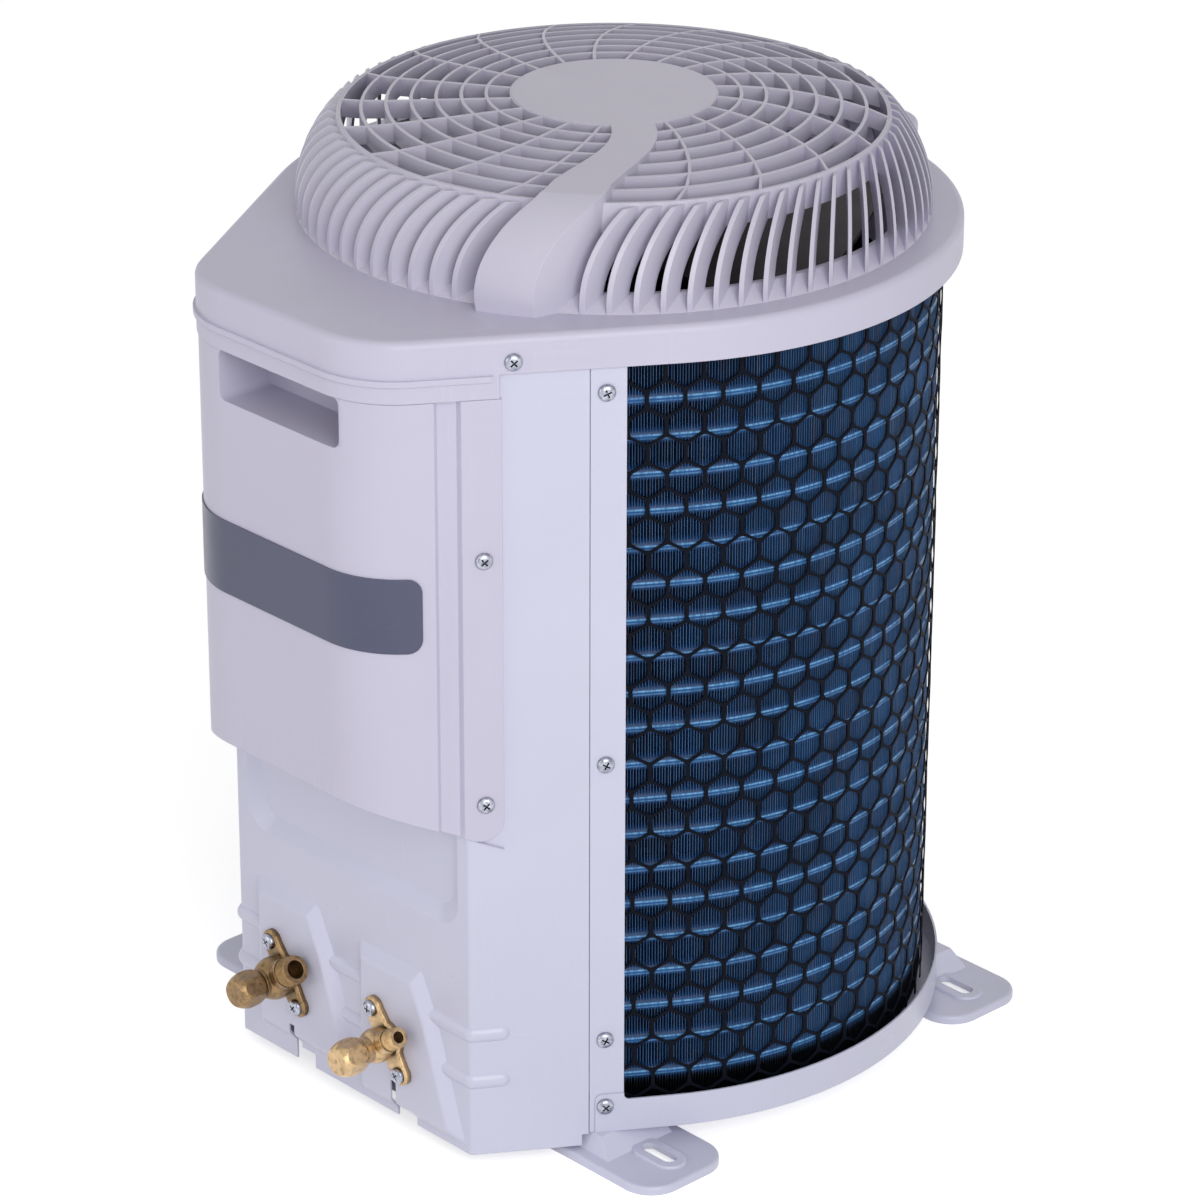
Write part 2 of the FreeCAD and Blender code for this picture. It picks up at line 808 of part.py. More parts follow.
def rim_band():
    r = GUARD_RIM_R
    points = [
        Vector(r - GUARD_RIM_T, 0, guard_z(GUARD_RIM_H)),
        Vector(r, 0, guard_z(GUARD_RIM_H)),
        Vector(r + GUARD_BAND_DRAFT, 0, guard_z(GUARD_RIM_H - GUARD_BAND_H)),
        Vector(r + GUARD_BAND_DRAFT - GUARD_RIM_T, 0, guard_z(GUARD_RIM_H - GUARD_BAND_H)),
    ]
    return revolved(polygon(points))


def base_ring():
    points = [
        Vector(GUARD_R - BASE_RING_W, 0, LID_Z1),
        Vector(GUARD_R, 0, LID_Z1),
        Vector(GUARD_R - BASE_RING_W + BASE_RING_SHELF, 0, guard_z(BASE_RING_H)),
        Vector(GUARD_R - BASE_RING_W, 0, guard_z(BASE_RING_H)),
    ]
    return revolved(polygon(points))


def flank_point(inset, height):
    """Point on the guard's curved flank, moved inwards by inset."""
    rise = height - VANE_ARC_Z
    centre = GUARD_R - VANE_ARC_R
    reach = math.sqrt((VANE_ARC_R - inset) ** 2 - rise ** 2)
    return Vector(centre + reach, 0, guard_z(height))


def vane_region():
    """Sector of the flank between its outer curve and the vanes' inner edge."""
    band_low = GUARD_RIM_H - GUARD_BAND_H
    top_h = GUARD_RIM_H - 1.6
    band_r = GUARD_RIM_R + GUARD_BAND_DRAFT - 0.8
    outer_low = flank_point(0, 0)
    outer_top = flank_point(0, top_h)
    band_top = Vector(GUARD_RIM_R - 0.8, 0, guard_z(top_h))
    band_foot = Vector(band_r, 0, guard_z(band_low))
    inner_low = Vector(GUARD_R - VANE_DEPTH, 0, LID_Z1)
    inner_mid = flank_point(VANE_DEPTH + 0.6, band_low * 0.55)
    edges = [
        arc(outer_low, flank_point(0, top_h * 0.6), outer_top),
        line(outer_top, band_top),
        line(band_top, band_foot),
        arc(band_foot, inner_mid, inner_low),
        line(inner_low, outer_low),
    ]
    sector = revolved(face_of(edges), 40.0)
    return turned(sector, -12.0)


def vane():
    """One upright vane, leaning round the guard, at angle zero."""
    lean = math.radians(VANE_LEAN)
    outward = Vector(math.cos(lean), -math.sin(lean), 0)
    across = Vector(math.sin(lean), math.cos(lean), 0) * (VANE_T / 2)
    foot = Vector(GUARD_R, 0, LID_Z1)
    near = foot + outward * 4.0
    far = foot - outward * VANE_PLATE
    plate = polygon([near - across, near + across, far + across, far - across])
    return plate.extrude(UP * GUARD_RIM_H).common(vane_region())


def smooth(u):
    u = min(max(u, 0.0), 1.0)
    return u * u * (3 - 2 * u)


def arm_centre(r):
    """Angle of the arm's middle line at radius r."""
    if r <= ARM_SHOULDER_R:
        u = (r - GUARD_HUB_R) / (ARM_SHOULDER_R - GUARD_HUB_R)
        return ARM_HUB_ANGLE + (ARM_RIM_ANGLE - ARM_HUB_ANGLE) * smooth(u)
    u = (r - ARM_SHOULDER_R) / (ARM_BASE_R - ARM_SHOULDER_R)
    return ARM_RIM_ANGLE + (ARM_BASE_ANGLE - ARM_RIM_ANGLE) * u


def arm_half(r):
    u = (r - GUARD_HUB_R) / (ARM_SHOULDER_R - GUARD_HUB_R)
    return ARM_HUB_HALF + (ARM_BASE_HALF - ARM_HUB_HALF) * min(max(u, 0.0), 1.0)


def arm_edge(sign, inset, r0, r1):
    """Smooth side line of the arm from r0 to r1."""
    points = []
    for i in range(ARM_STEPS + 1):
        r = r0 + (r1 - r0) * i / ARM_STEPS
        angle = arm_centre(r) + sign * math.degrees((arm_half(r) - inset) / r)
        points.append(polar(r, angle, LID_Z1))
    curve = Part.BSplineCurve()
    curve.interpolate(points)
    return curve.toShape(), points[0], points[-1]


def arm_plan(inset, r0, r1):
    left, left_in, left_out = arm_edge(-1, inset, r0, r1)
    right, right_in, right_out = arm_edge(1, inset, r0, r1)
    edges = [right, line(right_out, left_out), left, line(left_in, right_in)]
    wire = Part.Wire(Part.__sortEdges__(edges))
    return Part.Face(wire).extrude(UP * (GUARD_HUB_H + 2))


def arm_profile(inset):
    """Upright section of the arm along a radius, revolved: crown, knee, foot."""
    start = Vector(GUARD_HUB_R - 6.0, 0, guard_z(GUARD_HUB_H - inset))
    shoulder = Vector(ARM_SHOULDER_R - inset / 3, 0, guard_z(ARM_SHOULDER_H - inset))
    crown = Vector(GUARD_CROWN_R, 0, guard_z(GUARD_HUB_H - 1.0 - inset))
    knee = Vector(ARM_KNEE_R - inset, 0, guard_z(ARM_KNEE_H - inset / 2))
    foot = Vector(ARM_BASE_R - inset, 0, LID_Z1)
    low_r = GUARD_R - VANE_DEPTH
    foot_in = Vector(low_r, 0, LID_Z1)
    band_in = Vector(GUARD_RIM_R, 0, guard_z(GUARD_RIM_H - GUARD_BAND_H))
    rib_in = Vector(GUARD_RIM_R - 2.0, 0, guard_z(GUARD_RIM_H - RIB_DEPTH))
    start_in = Vector(start.x, 0, guard_z(GUARD_HUB_H - RIB_DEPTH))
    edges = [
        arc(start, crown, shoulder),
        arc(shoulder, knee, foot),
        line(foot, foot_in),
        line(foot_in, band_in),
        line(band_in, rib_in),
        line(rib_in, start_in),
        line(start_in, start),
    ]
    sector = revolved(face_of(edges), 70.0)
    return turned(sector, ARM_BASE_ANGLE - 20.0)


def arm():
    """Curved arm that carries the motor lead from the hub down to the cover."""
    body = arm_plan(0.0, GUARD_HUB_R - 1.0, ARM_BASE_R + 2.0).common(arm_profile(0.0))
    hollow = arm_plan(ARM_WALL, GUARD_RIM_R + 1.0, ARM_BASE_R + 2.0).common(arm_profile(ARM_WALL))
    return body.cut(hollow)


def fan_guard():
    count = VANES - VANES_LEFT_OUT
    first = vane()
    vanes = [turned(first, VANE_PHASE + i * 360.0 / VANES) for i in range(count)]
    frame = fused([grille(), rim_band(), hub_plate()])
    skirt = base_ring().multiFuse(vanes)
    whole = frame.multiFuse([skirt, arm()])
    return drill(whole, motor_screw_places(), depth=SCREW_L + FIT_GAP)


# Motor and impeller

def fan_motor():
    top = motor_top()
    body = Part.makeCylinder(MOTOR_R, top - MOTOR_Z0, Vector(0, 0, MOTOR_Z0))
    rims = [e for e in body.Edges if e.BoundBox.ZLength < 0.01 and e.BoundBox.ZMin < top - 1]
    body = body.makeFillet(MOTOR_ROUND, rims)
    lugs = []
    for seat, outward in motor_screw_places():
        foot = Vector(seat.x, seat.y, top - MOTOR_LUG_T)
        lugs.append(cylinder(MOTOR_LUG_PAD, foot, foot + UP * MOTOR_LUG_T))
        inward = Vector(seat.x, seat.y, 0).normalize()
        across = inward.cross(UP) * MOTOR_LUG_PAD
        start = inward * (MOTOR_R - 4.0) + UP * foot.z
        arm_face = polygon([start - across, start + across, foot + across, foot - across])
        lugs.append(arm_face.extrude(UP * MOTOR_LUG_T))
    nose = Part.makeCylinder(MOTOR_NOSE_R, MOTOR_NOSE_H, Vector(0, 0, MOTOR_Z0 - MOTOR_NOSE_H))
    whole = fused([body, nose] + lugs)
    below = Vector(0, 0, MOTOR_Z0 - MOTOR_NOSE_H - 1)
    bore = cylinder(SHAFT_R + RUN_GAP, below, Vector(0, 0, MOTOR_Z0 + SHAFT_DEEP))
    return drill(whole.cut(bore), motor_screw_places())


def motor_shaft():
    return cylinder(SHAFT_R, Vector(0, 0, SHAFT_Z0), Vector(0, 0, MOTOR_Z0 + SHAFT_DEEP - FIT_GAP))


def blade_section(r, chord, pitch):
    """Cambered section of a blade, upright to the radius at r."""
    turn = math.radians(pitch)
    along_chord = Vector(0, math.cos(turn), math.sin(turn))
    lift = Vector(0, -math.sin(turn), math.cos(turn))
    centre = Vector(r, 0, BLADE_MID_Z)
    lead = centre + along_chord * (chord / 2)
    trail = centre - along_chord * (chord / 2)
    rise = chord * BLADE_CAMBER
    upper = centre + lift * (rise + BLADE_T / 2)
    lower = centre + lift * (rise - BLADE_T / 2)
    thin = lift * (BLADE_T / 4)
    edges = [
        arc(trail + thin, upper, lead + thin),
        line(lead + thin, lead - thin),
        arc(lead - thin, lower, trail - thin),
        line(trail - thin, trail + thin),
    ]
    return Part.Wire(edges)


def blade():
    sections = [
        blade_section(FAN_HUB_R - 14.0, BLADE_ROOT_CHORD, BLADE_ROOT_PITCH),
        blade_section((FAN_HUB_R + FAN_R) / 2, BLADE_MID_CHORD, BLADE_MID_PITCH),
        blade_section(FAN_R + 4.0, BLADE_TIP_CHORD, BLADE_TIP_PITCH),
    ]
    loft = Part.makeLoft(sections, True, False)
    low = BLADE_MID_Z - BLADE_TIP_CHORD
    tip = ring(FAN_R, FAN_HUB_R - FAN_WALL / 2, low, low + 2 * BLADE_TIP_CHORD)
    return loft.common(tip)


def fan_impeller():
    cup = ring(FAN_HUB_R, FAN_HUB_R - FAN_WALL, FAN_HUB_Z0, FAN_HUB_Z1)
    floor = Part.makeCylinder(FAN_HUB_R, FAN_WALL, Vector(0, 0, FAN_HUB_Z0))
    boss = Part.makeCylinder(FAN_BOSS_R, FAN_HUB_Z0 - FAN_BOSS_Z0 + 1, Vector(0, 0, FAN_BOSS_Z0))
    first = blade()
    blades = [turned(first, FAN_PHASE + i * 360.0 / FAN_BLADES) for i in range(FAN_BLADES)]
    whole = fused([cup, floor, boss] + blades)
    bore = cylinder(SHAFT_R + RUN_GAP, Vector(0, 0, FAN_BOSS_Z0 - 1), Vector(0, 0, FAN_HUB_Z0 + FAN_WALL + 1))
    return whole.cut(bore)


def fan_nut():
    nut = hexagon(NUT_AF, Vector(0, 0, FAN_BOSS_Z0), UP * -1, NUT_H)
    above = Vector(0, 0, FAN_BOSS_Z0 + 1)
    return nut.cut(cylinder(SHAFT_R + RUN_GAP, above, above - UP * (NUT_H + 2)))


# Service cover and plate

def cover_path(inset, z):
    """Edges of the cover's plan line from its right end to its left end."""
    halves = []
    for side in SIDES:
        d = COVER_R - inset
        bottom = d - COVER_CHANNEL
        nose = corner_arc(side, d, COVER_NOSE - inset, COVER_CORNER - inset, z)
        lip = inset * 0.6
        end = side_point(side, COVER_END_S, d, z)
        step = side_point(side, COVER_STEP_S + lip, d, z)
        low = side_point(side, COVER_STEP_S - COVER_CHAMFER + lip, bottom, z)
        back = side_point(side, COVER_WALL_S + COVER_CHAMFER - lip, bottom, z)
        wall = side_point(side, COVER_WALL_S - lip, d, z)
        edges = [line(end, step), line(step, low), line(low, back), line(back, wall), line(wall, nose[0])]
        edges.append(arc(nose[0], nose[1], nose[2]))
        halves.append((edges, end, nose[2]))
    right, left = halves
    return right[0] + [line(right[2], left[2])] + left[0][::-1], right[1], left[1]


def cover_wall():
    outer, outer_right, outer_left = cover_path(0.0, STEEL_Z0)
    inner, inner_right, inner_left = cover_path(COVER_T, STEEL_Z0)
    edges = outer + inner + [line(outer_right, inner_right), line(outer_left, inner_left)]
    wire = Part.Wire(Part.__sortEdges__(edges))
    return Part.Face(wire).extrude(UP * (COVER_Z1 - STEEL_Z0))


def sole_z(y):
    """Level of the cover's sloping underside at plan position y."""
    return COVER_FRONT_Z0 - COVER_SLOPE * (y + COVER_NOSE)


def cover_inside():
    """Everything within the cover's wall and in front of the steel panel."""
    outer, outer_right, outer_left = cover_path(COVER_T / 2, STEEL_Z0)
    edges = outer + [line(outer_right, outer_left)]
    wire = Part.Wire(Part.__sortEdges__(edges))
    room = Part.Face(wire).extrude(UP * (COVER_Z1 - STEEL_Z0))
    front = box(-HULL_R, HULL_R, -LID_NOSE, -STEEL_NOSE - FIT_GAP, STEEL_Z0, COVER_Z1)
    return room.common(front)


def sole_slab(low, high):
    """Sloping slab across the nose between two offsets from the underside."""
    front = -LID_NOSE - 10.0
    back = -STEEL_NOSE + 40.0
    points = [
        Vector(-HULL_R, front, sole_z(front) + low),
        Vector(-HULL_R, back, sole_z(back) + low),
        Vector(-HULL_R, back, sole_z(back) + high),
        Vector(-HULL_R, front, sole_z(front) + high),
    ]
    return polygon(points).extrude(Vector(2 * HULL_R, 0, 0))


def pocket(extra):
    """Hand pocket block; extra is the wall thickness round it."""
    front = -COVER_NOSE - 5.0 + extra * 2
    x0 = POCKET_X0 - extra
    x1 = POCKET_X1 + extra
    wire = rounded_rect_wire(x0, x1, POCKET_Z0 - extra, STRAP_Z + extra, POCKET_R + extra, front)
    depth = -COVER_NOSE + POCKET_DEPTH + extra - front
    return Part.Face(wire).extrude(Vector(0, depth, 0))


def nose_cover():
    wall = cover_wall()
    floor = cover_inside().common(sole_slab(0.0, COVER_T))
    shell = wall.fuse(floor)
    shell = shell.cut(sole_slab(-300.0, 0.0))
    tray = pocket(COVER_T).common(box(-HULL_R, HULL_R, -COVER_NOSE + COVER_T / 2, 0, 0, COVER_Z1))
    shell = shell.fuse(tray)
    shell = shell.cut(pocket(0.0))
    for side in SIDES:
        end = side_point(side, COVER_END_S, COVER_R, 0)
        corner = Vector(COVER_END_S, 0, sole_z(end.y))
        sole = Vector(-1, 0, COVER_SLOPE * side_along(side).y)
        shell = shell.cut(corner_waste(side, corner, sole, UP, COVER_TAB_R, STEEL_R - 1, COVER_R + 1))
    return drill(shell.removeSplitter(), cover_screw_places())


def cover_plate():
    """Bare plate that wraps round the nose of the cover."""
    out = hull(COVER_R + PLATE_T, COVER_NOSE + PLATE_T, COVER_CORNER + PLATE_T, PLATE_Z0, PLATE_Z1)
    core = hull(COVER_R, COVER_NOSE, COVER_CORNER, PLATE_Z0, PLATE_Z1)
    band = out.cut(core)
    band = band.common(box(-HULL_R, HULL_R, -LID_NOSE * 2, -STEEL_NOSE, PLATE_Z0, PLATE_Z1))
    for side in SIDES:
        band = band.cut(side_box(side, PLATE_END_S, HULL_R, COVER_R - 9, HULL_R * 2, PLATE_Z0, PLATE_Z1))
        for z, inward in ((PLATE_Z0, UP), (PLATE_Z1, UP * -1)):
            corner = Vector(PLATE_END_S, 0, z)
            waste = corner_waste(side, corner, Vector(-1, 0, 0), inward, PLATE_R, COVER_R - 9, COVER_R + 3)
            band = band.cut(waste)
    return band


# Steel panel, strips, pan, rails

def steel_prism(inset, z0, z1):
    """Trapezoid in plan: nose face and the two side faces up to the seams."""
    d = STEEL_R - inset
    nose = STEEL_NOSE - inset
    s = corner_s(d, nose)
    end = SEAM_S + (1.0 if inset else 0.0)
    points = [
        side_point(RIGHT, end, d, z0),
        side_point(RIGHT, s, d, z0),
        side_point(LEFT, s, d, z0),
        side_point(LEFT, end, d, z0),
    ]
    prism = polygon(points).extrude(UP * (z1 - z0))
    bends = [e for e in prism.Edges if e.BoundBox.ZLength > 1 and abs(e.CenterOfMass.y + nose) < 0.01]
    return prism.makeFillet(STEEL_BEND - inset, bends)


def valve_pad(valve, inset):
    """Raised pad round a valve, with sloping flanks and soft edges."""
    x = valve["x"]
    z = valve["z"]
    corners = [
        (x - PAD_LEFT, z + PAD_ABOVE),
        (x + PAD_RIGHT_TOP, z + PAD_ABOVE),
        (x + PAD_RIGHT_MID, z + PAD_ABOVE / 2),
        (x + PAD_RIGHT_LOW, z - PAD_BELOW),
        (x - PAD_LEFT, z - PAD_BELOW),
    ]
    front = -VALVE_Y + inset
    top = polygon([Vector(px, front, pz) for px, pz in corners])
    foot = top.makeOffset2D(PAD_DRAFT, 2)
    foot.translate(Vector(0, PAD_OUT, 0))
    if inset:
        top = top.makeOffset2D(-inset * 0.6, 2)
        foot = foot.makeOffset2D(-inset * 0.6, 2)
    pad = Part.makeLoft([foot.Wires[0], top.Wires[0]], True, True)
    return pad.makeFillet(PAD_ROUND - inset, [e for e in pad.Edges if e.BoundBox.YMin < front + 0.01])


def panel_recess(inset):
    """Shallow recess under the cover's lower edge."""
    grow = inset * 0.6
    y0 = -STEEL_NOSE + inset
    x = RECESS_HALF + grow
    z0 = RECESS_Z0 - grow
    z1 = RECESS_Z1 + grow
    wide = rounded_rect_wire(-x, x, z0, z1, RECESS_R, y0)
    x -= RECESS_DRAFT
    z0 += RECESS_DRAFT
    z1 -= RECESS_DRAFT
    deep = rounded_rect_wire(-x, x, z0, z1, RECESS_R - RECESS_DRAFT / 2, y0 + RECESS_DEPTH)
    mouth = Part.Face(wide).extrude(Vector(0, -1.0, 0))
    return Part.makeLoft([wide, deep], True, True).fuse(mouth)


def panel_ridges():
    """Two level ridges across the nose that run on round both corners."""
    d = STEEL_R + RIDGE_OUT - RIDGE_R
    corner_at = corner_s(d, STEEL_NOSE + RIDGE_OUT - RIDGE_R)
    ridges = []
    for z in RIDGE_ZS:
        corners = [side_point(side, corner_at, d, z) for side in SIDES]
        ridges.append(cylinder(RIDGE_R, *corners))
        for side, corner in zip(SIDES, corners):
            end = side_point(side, RIDGE_END_S, d, z)
            ridges.append(cylinder(RIDGE_R, corner, end))
            ridges += [Part.makeSphere(RIDGE_R, p) for p in (corner, end)]
    return ridges


def nose_panel():
    outer = steel_prism(0.0, STEEL_Z0, STEEL_Z1)
    inner = steel_prism(SHEET, STEEL_Z0 - 1, STEEL_Z1 + 1)
    outer = outer.fuse([valve_pad(v, 0.0) for v in VALVES.values()] + panel_ridges())
    outer = outer.cut(panel_recess(0.0))
    inner = inner.fuse([valve_pad(v, SHEET) for v in VALVES.values()])
    inner = inner.cut(panel_recess(SHEET))
    sheet = outer.cut(inner)
    for side in SIDES:
        step = side_box(side, SIDE_STEP_S, 0, STEEL_R - 2 * SHEET, STEEL_R + 1, STEEL_Z0 - 1, SIDE_STEP_Z)
        sheet = sheet.cut(step)
    for valve in VALVES.values():
        x = valve["x"] + SLIT_OFF
        front = -STEEL_NOSE - PAD_OUT - 1
        back = -STEEL_NOSE + SHEET + 1
        sheet = sheet.cut(box(x - SLIT_W / 2, x + SLIT_W / 2, front, back, STEEL_Z0, SLIT_TOP))
        sheet = sheet.cut(box(x, x + NOTCH_W + SLIT_W / 2, front, back, STEEL_Z0, NOTCH_TOP))
        hole_r = valve["pipe_r"] + PIPE_HOLE_GAP
        sheet = sheet.cut(cylinder(hole_r, valve_axis(valve, 1), valve_axis(valve, -PAD_OUT - SHEET - 1)))
    sheet = sheet.removeSplitter()
    places = lid_screw_places() + cover_screw_places() + valve_screw_places()
    sheet = drill(sheet, places + can_screw_places())
    return drill(sheet, block_screw_places(), depth=BLOCK_D + 6.0)


def edge_strip():
    """Right-hand strip between the steel panel and the coil opening."""
    s0 = SEAM_S + SEAM_GAP
    s1 = s0 + TONGUE_ROOT
    behind = STEEL_R - SHEET - FACE_GAP
    tongue_z = PAN_Z + TONGUE_RISE
    plate = side_box(RIGHT, s0, STRIP_EDGE_S, STEEL_R - SHEET, STEEL_R, PAN_Z, STEEL_Z1)
    fold_d = STEEL_R - STRIP_RETURN
    fold = side_box(RIGHT, STRIP_EDGE_S - SHEET, STRIP_EDGE_S, fold_d, STEEL_R, PAN_RIM_Z + 2, STEEL_Z1)
    tongue = side_box(RIGHT, s0 - TONGUE_L, s1, behind - SHEET, behind, tongue_z, STEEL_Z1)
    step = side_box(RIGHT, s0 + SEAM_GAP, s1, behind - FACE_GAP, STEEL_R - 0.4, tongue_z, STEEL_Z1)
    strip = fused([plate, fold, tongue, step])
    return drill(strip, strip_screw_places() + rim_screw_places())


def coil_end_plate():
    """Right-hand tube sheet with a flange for the strip screws."""
    d1 = STEEL_R - SHEET - FACE_GAP
    web = side_box(RIGHT, COIL_END_S - END_PLATE_T, COIL_END_S, COIL_R0, d1, COIL_Z0, COIL_Z1)
    s0 = COIL_END_S - END_PLATE_T - END_PLATE_FLANGE + 1.5
    flange = side_box(RIGHT, s0, COIL_END_S, d1 - END_PLATE_T, d1, COIL_Z0, COIL_Z1)
    plate = fused([web, flange])
    return drill(plate, strip_screw_places() + rim_screw_places())


def return_bend(z):
    """U-shaped return bend that joins the tube at z to the one above."""
    away = side_along(RIGHT) * -1
    low = side_point(RIGHT, COIL_END_S - END_PLATE_T, COIL_TUBE_D, z)
    high = low + UP * COIL_PITCH
    leg = away * BEND_LEG
    crown = low + leg + (away + UP) * (COIL_PITCH / 2)
    path = Part.Wire([line(low, low + leg), arc(low + leg, crown, high + leg), line(high + leg, high)])
    return path.makePipeShell([Part.Wire([Part.makeCircle(COIL_TUBE_R, low, away)])], True, True)


def coil_port(row):
    """Where a pipe joins the coil at its right-hand end plate."""
    return side_point(RIGHT, COIL_END_S - END_PLATE_T, COIL_TUBE_D, row_z(row))


def row_z(row):
    return COIL_ROW_Z + COIL_PITCH * row


def bends_right():
    """Bends between rows 1-2, 3-4 and so on; the first and last rows leave as stubs."""
    bends = [return_bend(row_z(row)) for row in range(1, COIL_ROWS - 1, 2)]
    return Part.makeCompound(bends)


def bends_left():
    return mirrored(Part.makeCompound([return_bend(row_z(row)) for row in range(0, COIL_ROWS, 2)]))


def coil_section():
    """Upright section of the finned block, with a bead along each tube row."""
    core = COIL_R1 - FIN_SHOW
    points = [(COIL_R0, COIL_Z0), (core, COIL_Z0)]
    for row in range(COIL_ROWS):
        z = row_z(row)
        points.append((core, z - ROW_BEAD_HALF))
        points.append((core + ROW_BEAD_OUT, z - ROW_BEAD_FLAT))
        points.append((core + ROW_BEAD_OUT, z + ROW_BEAD_FLAT))
        points.append((core, z + ROW_BEAD_HALF))
    points += [(core, COIL_Z1), (COIL_R0, COIL_Z1)]
    return polygon([side_point(RIGHT, 0, d, z) for d, z in points])


def main_fins():
    """Upright fins that stand out of the block at an even step."""
    sweep = 360 - 2 * SIDE_TURN
    count = round(math.radians(sweep) * COIL_R1 / FIN_STEP)
    root = COIL_R1 - FIN_SHOW - 1
    fins = []
    for i in range(count):
        fin = box(root, COIL_R1, -FIN_T / 2, FIN_T / 2, COIL_Z0, COIL_Z1)
        fin.rotate(Vector(), UP, SIDE_TURN - 90 + sweep * (i + 0.5) / count)
        fins.append(fin)
    s = -FIN_STEP / 2
    fins += [side_box(side, s - FIN_T / 2, s + FIN_T / 2, root, COIL_R1, COIL_Z0, COIL_Z1) for side in SIDES]
    return fins


def coil_fins():
    """Finned block bent to a C round the barrel."""
    section = coil_section()
    back = section.revolve(Vector(), UP, 360 - 2 * SIDE_TURN)
    side = section.extrude(side_along(RIGHT) * COIL_END_S)
    return fused([back, side, mirrored(side)] + main_fins())


def coil_net():
    return barrel_band(NET_R + NET_T, NET_R, NET_END_S, NET_Z0, NET_Z1)


def pan_outline(inset, z):
    """Round tray that narrows to fit inside the steel panel at the nose."""
    d = PAN_R - inset
    inner_d = STEEL_R - SHEET - PAN_NOSE_GAP - inset
    nose = STEEL_NOSE - SHEET - PAN_FRONT_GAP - inset
    s = corner_s(inner_d, nose)
    step_s = PAN_TAB_S + inset
    in_s = SEAM_S - PAN_NOSE_GAP
    points_right = [
        side_point(RIGHT, 0, d, z),
        side_point(RIGHT, step_s, d, z),
        side_point(RIGHT, step_s, inner_d, z),
        side_point(RIGHT, in_s, inner_d, z),
        side_point(RIGHT, s, inner_d, z),
    ]
    points_left = [Vector(-p.x, p.y, p.z) for p in points_right]
    chain = points_right + points_left[::-1]
    edges = [line(a, b) for a, b in zip(chain, chain[1:])]
    edges.append(arc(chain[-1], Vector(0, d, z), chain[0]))
    return face_of(edges)


def frustum_shell(x, y, r, h):
    """Raised round platform of the pan floor with a sloping edge."""
    outer = Part.makeCone(r, r - h, h, Vector(x, y, PAN_Z + SHEET))
    outer = outer.fuse(Part.makeCylinder(r, SHEET, Vector(x, y, PAN_Z)))
    inner = Part.makeCone(r, r - h, h, Vector(x, y, PAN_Z))
    return outer, inner


def coil_seat():
    """Raised track under the coil."""
    mid = (COIL_R0 + COIL_R1) / 2
    return barrel_band(mid + SEAT_W / 2, mid - SEAT_W / 2, COIL_END_S, PAN_Z + SHEET / 2, COIL_Z0)


def nut_places():
    places = []
    for i in range(COMP_FEET):
        p = polar(COMP_FOOT_R, COMP_FOOT_PHASE + i * 360.0 / COMP_FEET, 0)
        places.append(Vector(COMP_X + p.x, COMP_Y + p.y, platform_z()))
    return places


def platform_z():
    return PAN_Z + SHEET + PLATFORM_H


def rail_bolt_points():
    points = []
    for rail in (FRONT_RAIL, REAR_RAIL):
        for side in SIDES:
            points.append(Vector(side * (rail["half"] - BOLT_BACK), rail["y"], PAN_Z + SHEET))
    return points


def base_pan():
    outer = pan_outline(0.0, PAN_Z).extrude(UP * (PAN_RIM_Z - PAN_Z))
    inner = pan_outline(SHEET, PAN_Z + SHEET).extrude(UP * (PAN_RIM_Z - PAN_Z))
    tray = outer.cut(inner)
    raised, hollow = frustum_shell(COMP_X, COMP_Y, PLATFORM_R, PLATFORM_H)
    tray = tray.fuse([raised, coil_seat()]).cut(hollow)
    for side in SIDES:
        tab = side_box(side, PAN_TAB_S, STRIP_EDGE_S, PAN_R - SHEET, PAN_R, PAN_RIM_Z - 1, PAN_TAB_Z)
        corner = Vector(PAN_TAB_S, 0, PAN_TAB_Z)
        d0 = PAN_R - SHEET
        tab = tab.cut(corner_waste(side, corner, Vector(1, 0, 0), UP * -1, PAN_TAB_R, d0 - 1, PAN_R + 1))
        tray = tray.fuse(tab)
        behind = STEEL_R - 2 * SHEET - 0.6
        s = STRIP_EDGE_S + PAN_CORNER_R
        z = PAN_RIM_Z + PAN_CORNER_R
        corner = side_box(side, STRIP_EDGE_S, s, d0, PAN_R, PAN_RIM_Z - 1, z)
        round_off = cylinder(PAN_CORNER_R, side_point(side, s, d0 - 1, z), side_point(side, s, PAN_R + 1, z))
        tray = tray.fuse(corner.cut(round_off))
        floor_z = PAN_Z + SHEET
        tray = tray.cut(side_box(side, PAN_TAB_S - 1, STRIP_EDGE_S + 0.5, behind, d0, floor_z, PAN_TAB_Z))
        s0 = PAN_TAB_S - PAN_NOSE_GAP
        s1 = STRIP_EDGE_S + PAN_NOSE_GAP
        tray = tray.cut(side_box(side, s0, s1, STEEL_R - SHEET - FACE_GAP, d0, PAN_Z - 1, floor_z))
    for p in nut_places():
        tray = tray.cut(cylinder(STUD_R + FIT_GAP, p + UP, p - UP * 12))
    for p in rail_bolt_points():
        tray = tray.cut(cylinder(BOLT_R + FIT_GAP, p + UP, p - UP * 4))
    drain = polar(DRAIN_AT_R, DRAIN_ANGLE, PAN_Z)
    tray = tray.cut(cylinder(DRAIN_R, drain - UP, drain + UP * 4))
    return drill(tray.removeSplitter(), rim_screw_places())


def rail_end_face(rail, inset, z):
    """Plan outline of a rail: a long plate with rounded corners."""
    half = rail["half"] - inset
    y0 = rail["y"] - RAIL_W / 2 + inset
    y1 = rail["y"] + RAIL_W / 2 - inset
    plate = polygon([Vector(-half, y0, z), Vector(half, y0, z), Vector(half, y1, z), Vector(-half, y1, z)])
    solid = plate.extrude(UP)
    corners = [e for e in solid.Edges if e.BoundBox.ZLength > 0.5]
    solid = solid.makeFillet(RAIL_R - inset, corners)
    return [f for f in solid.Faces if abs(f.CenterOfMass.z - z) < 0.01 and f.BoundBox.ZLength < 0.01][0]


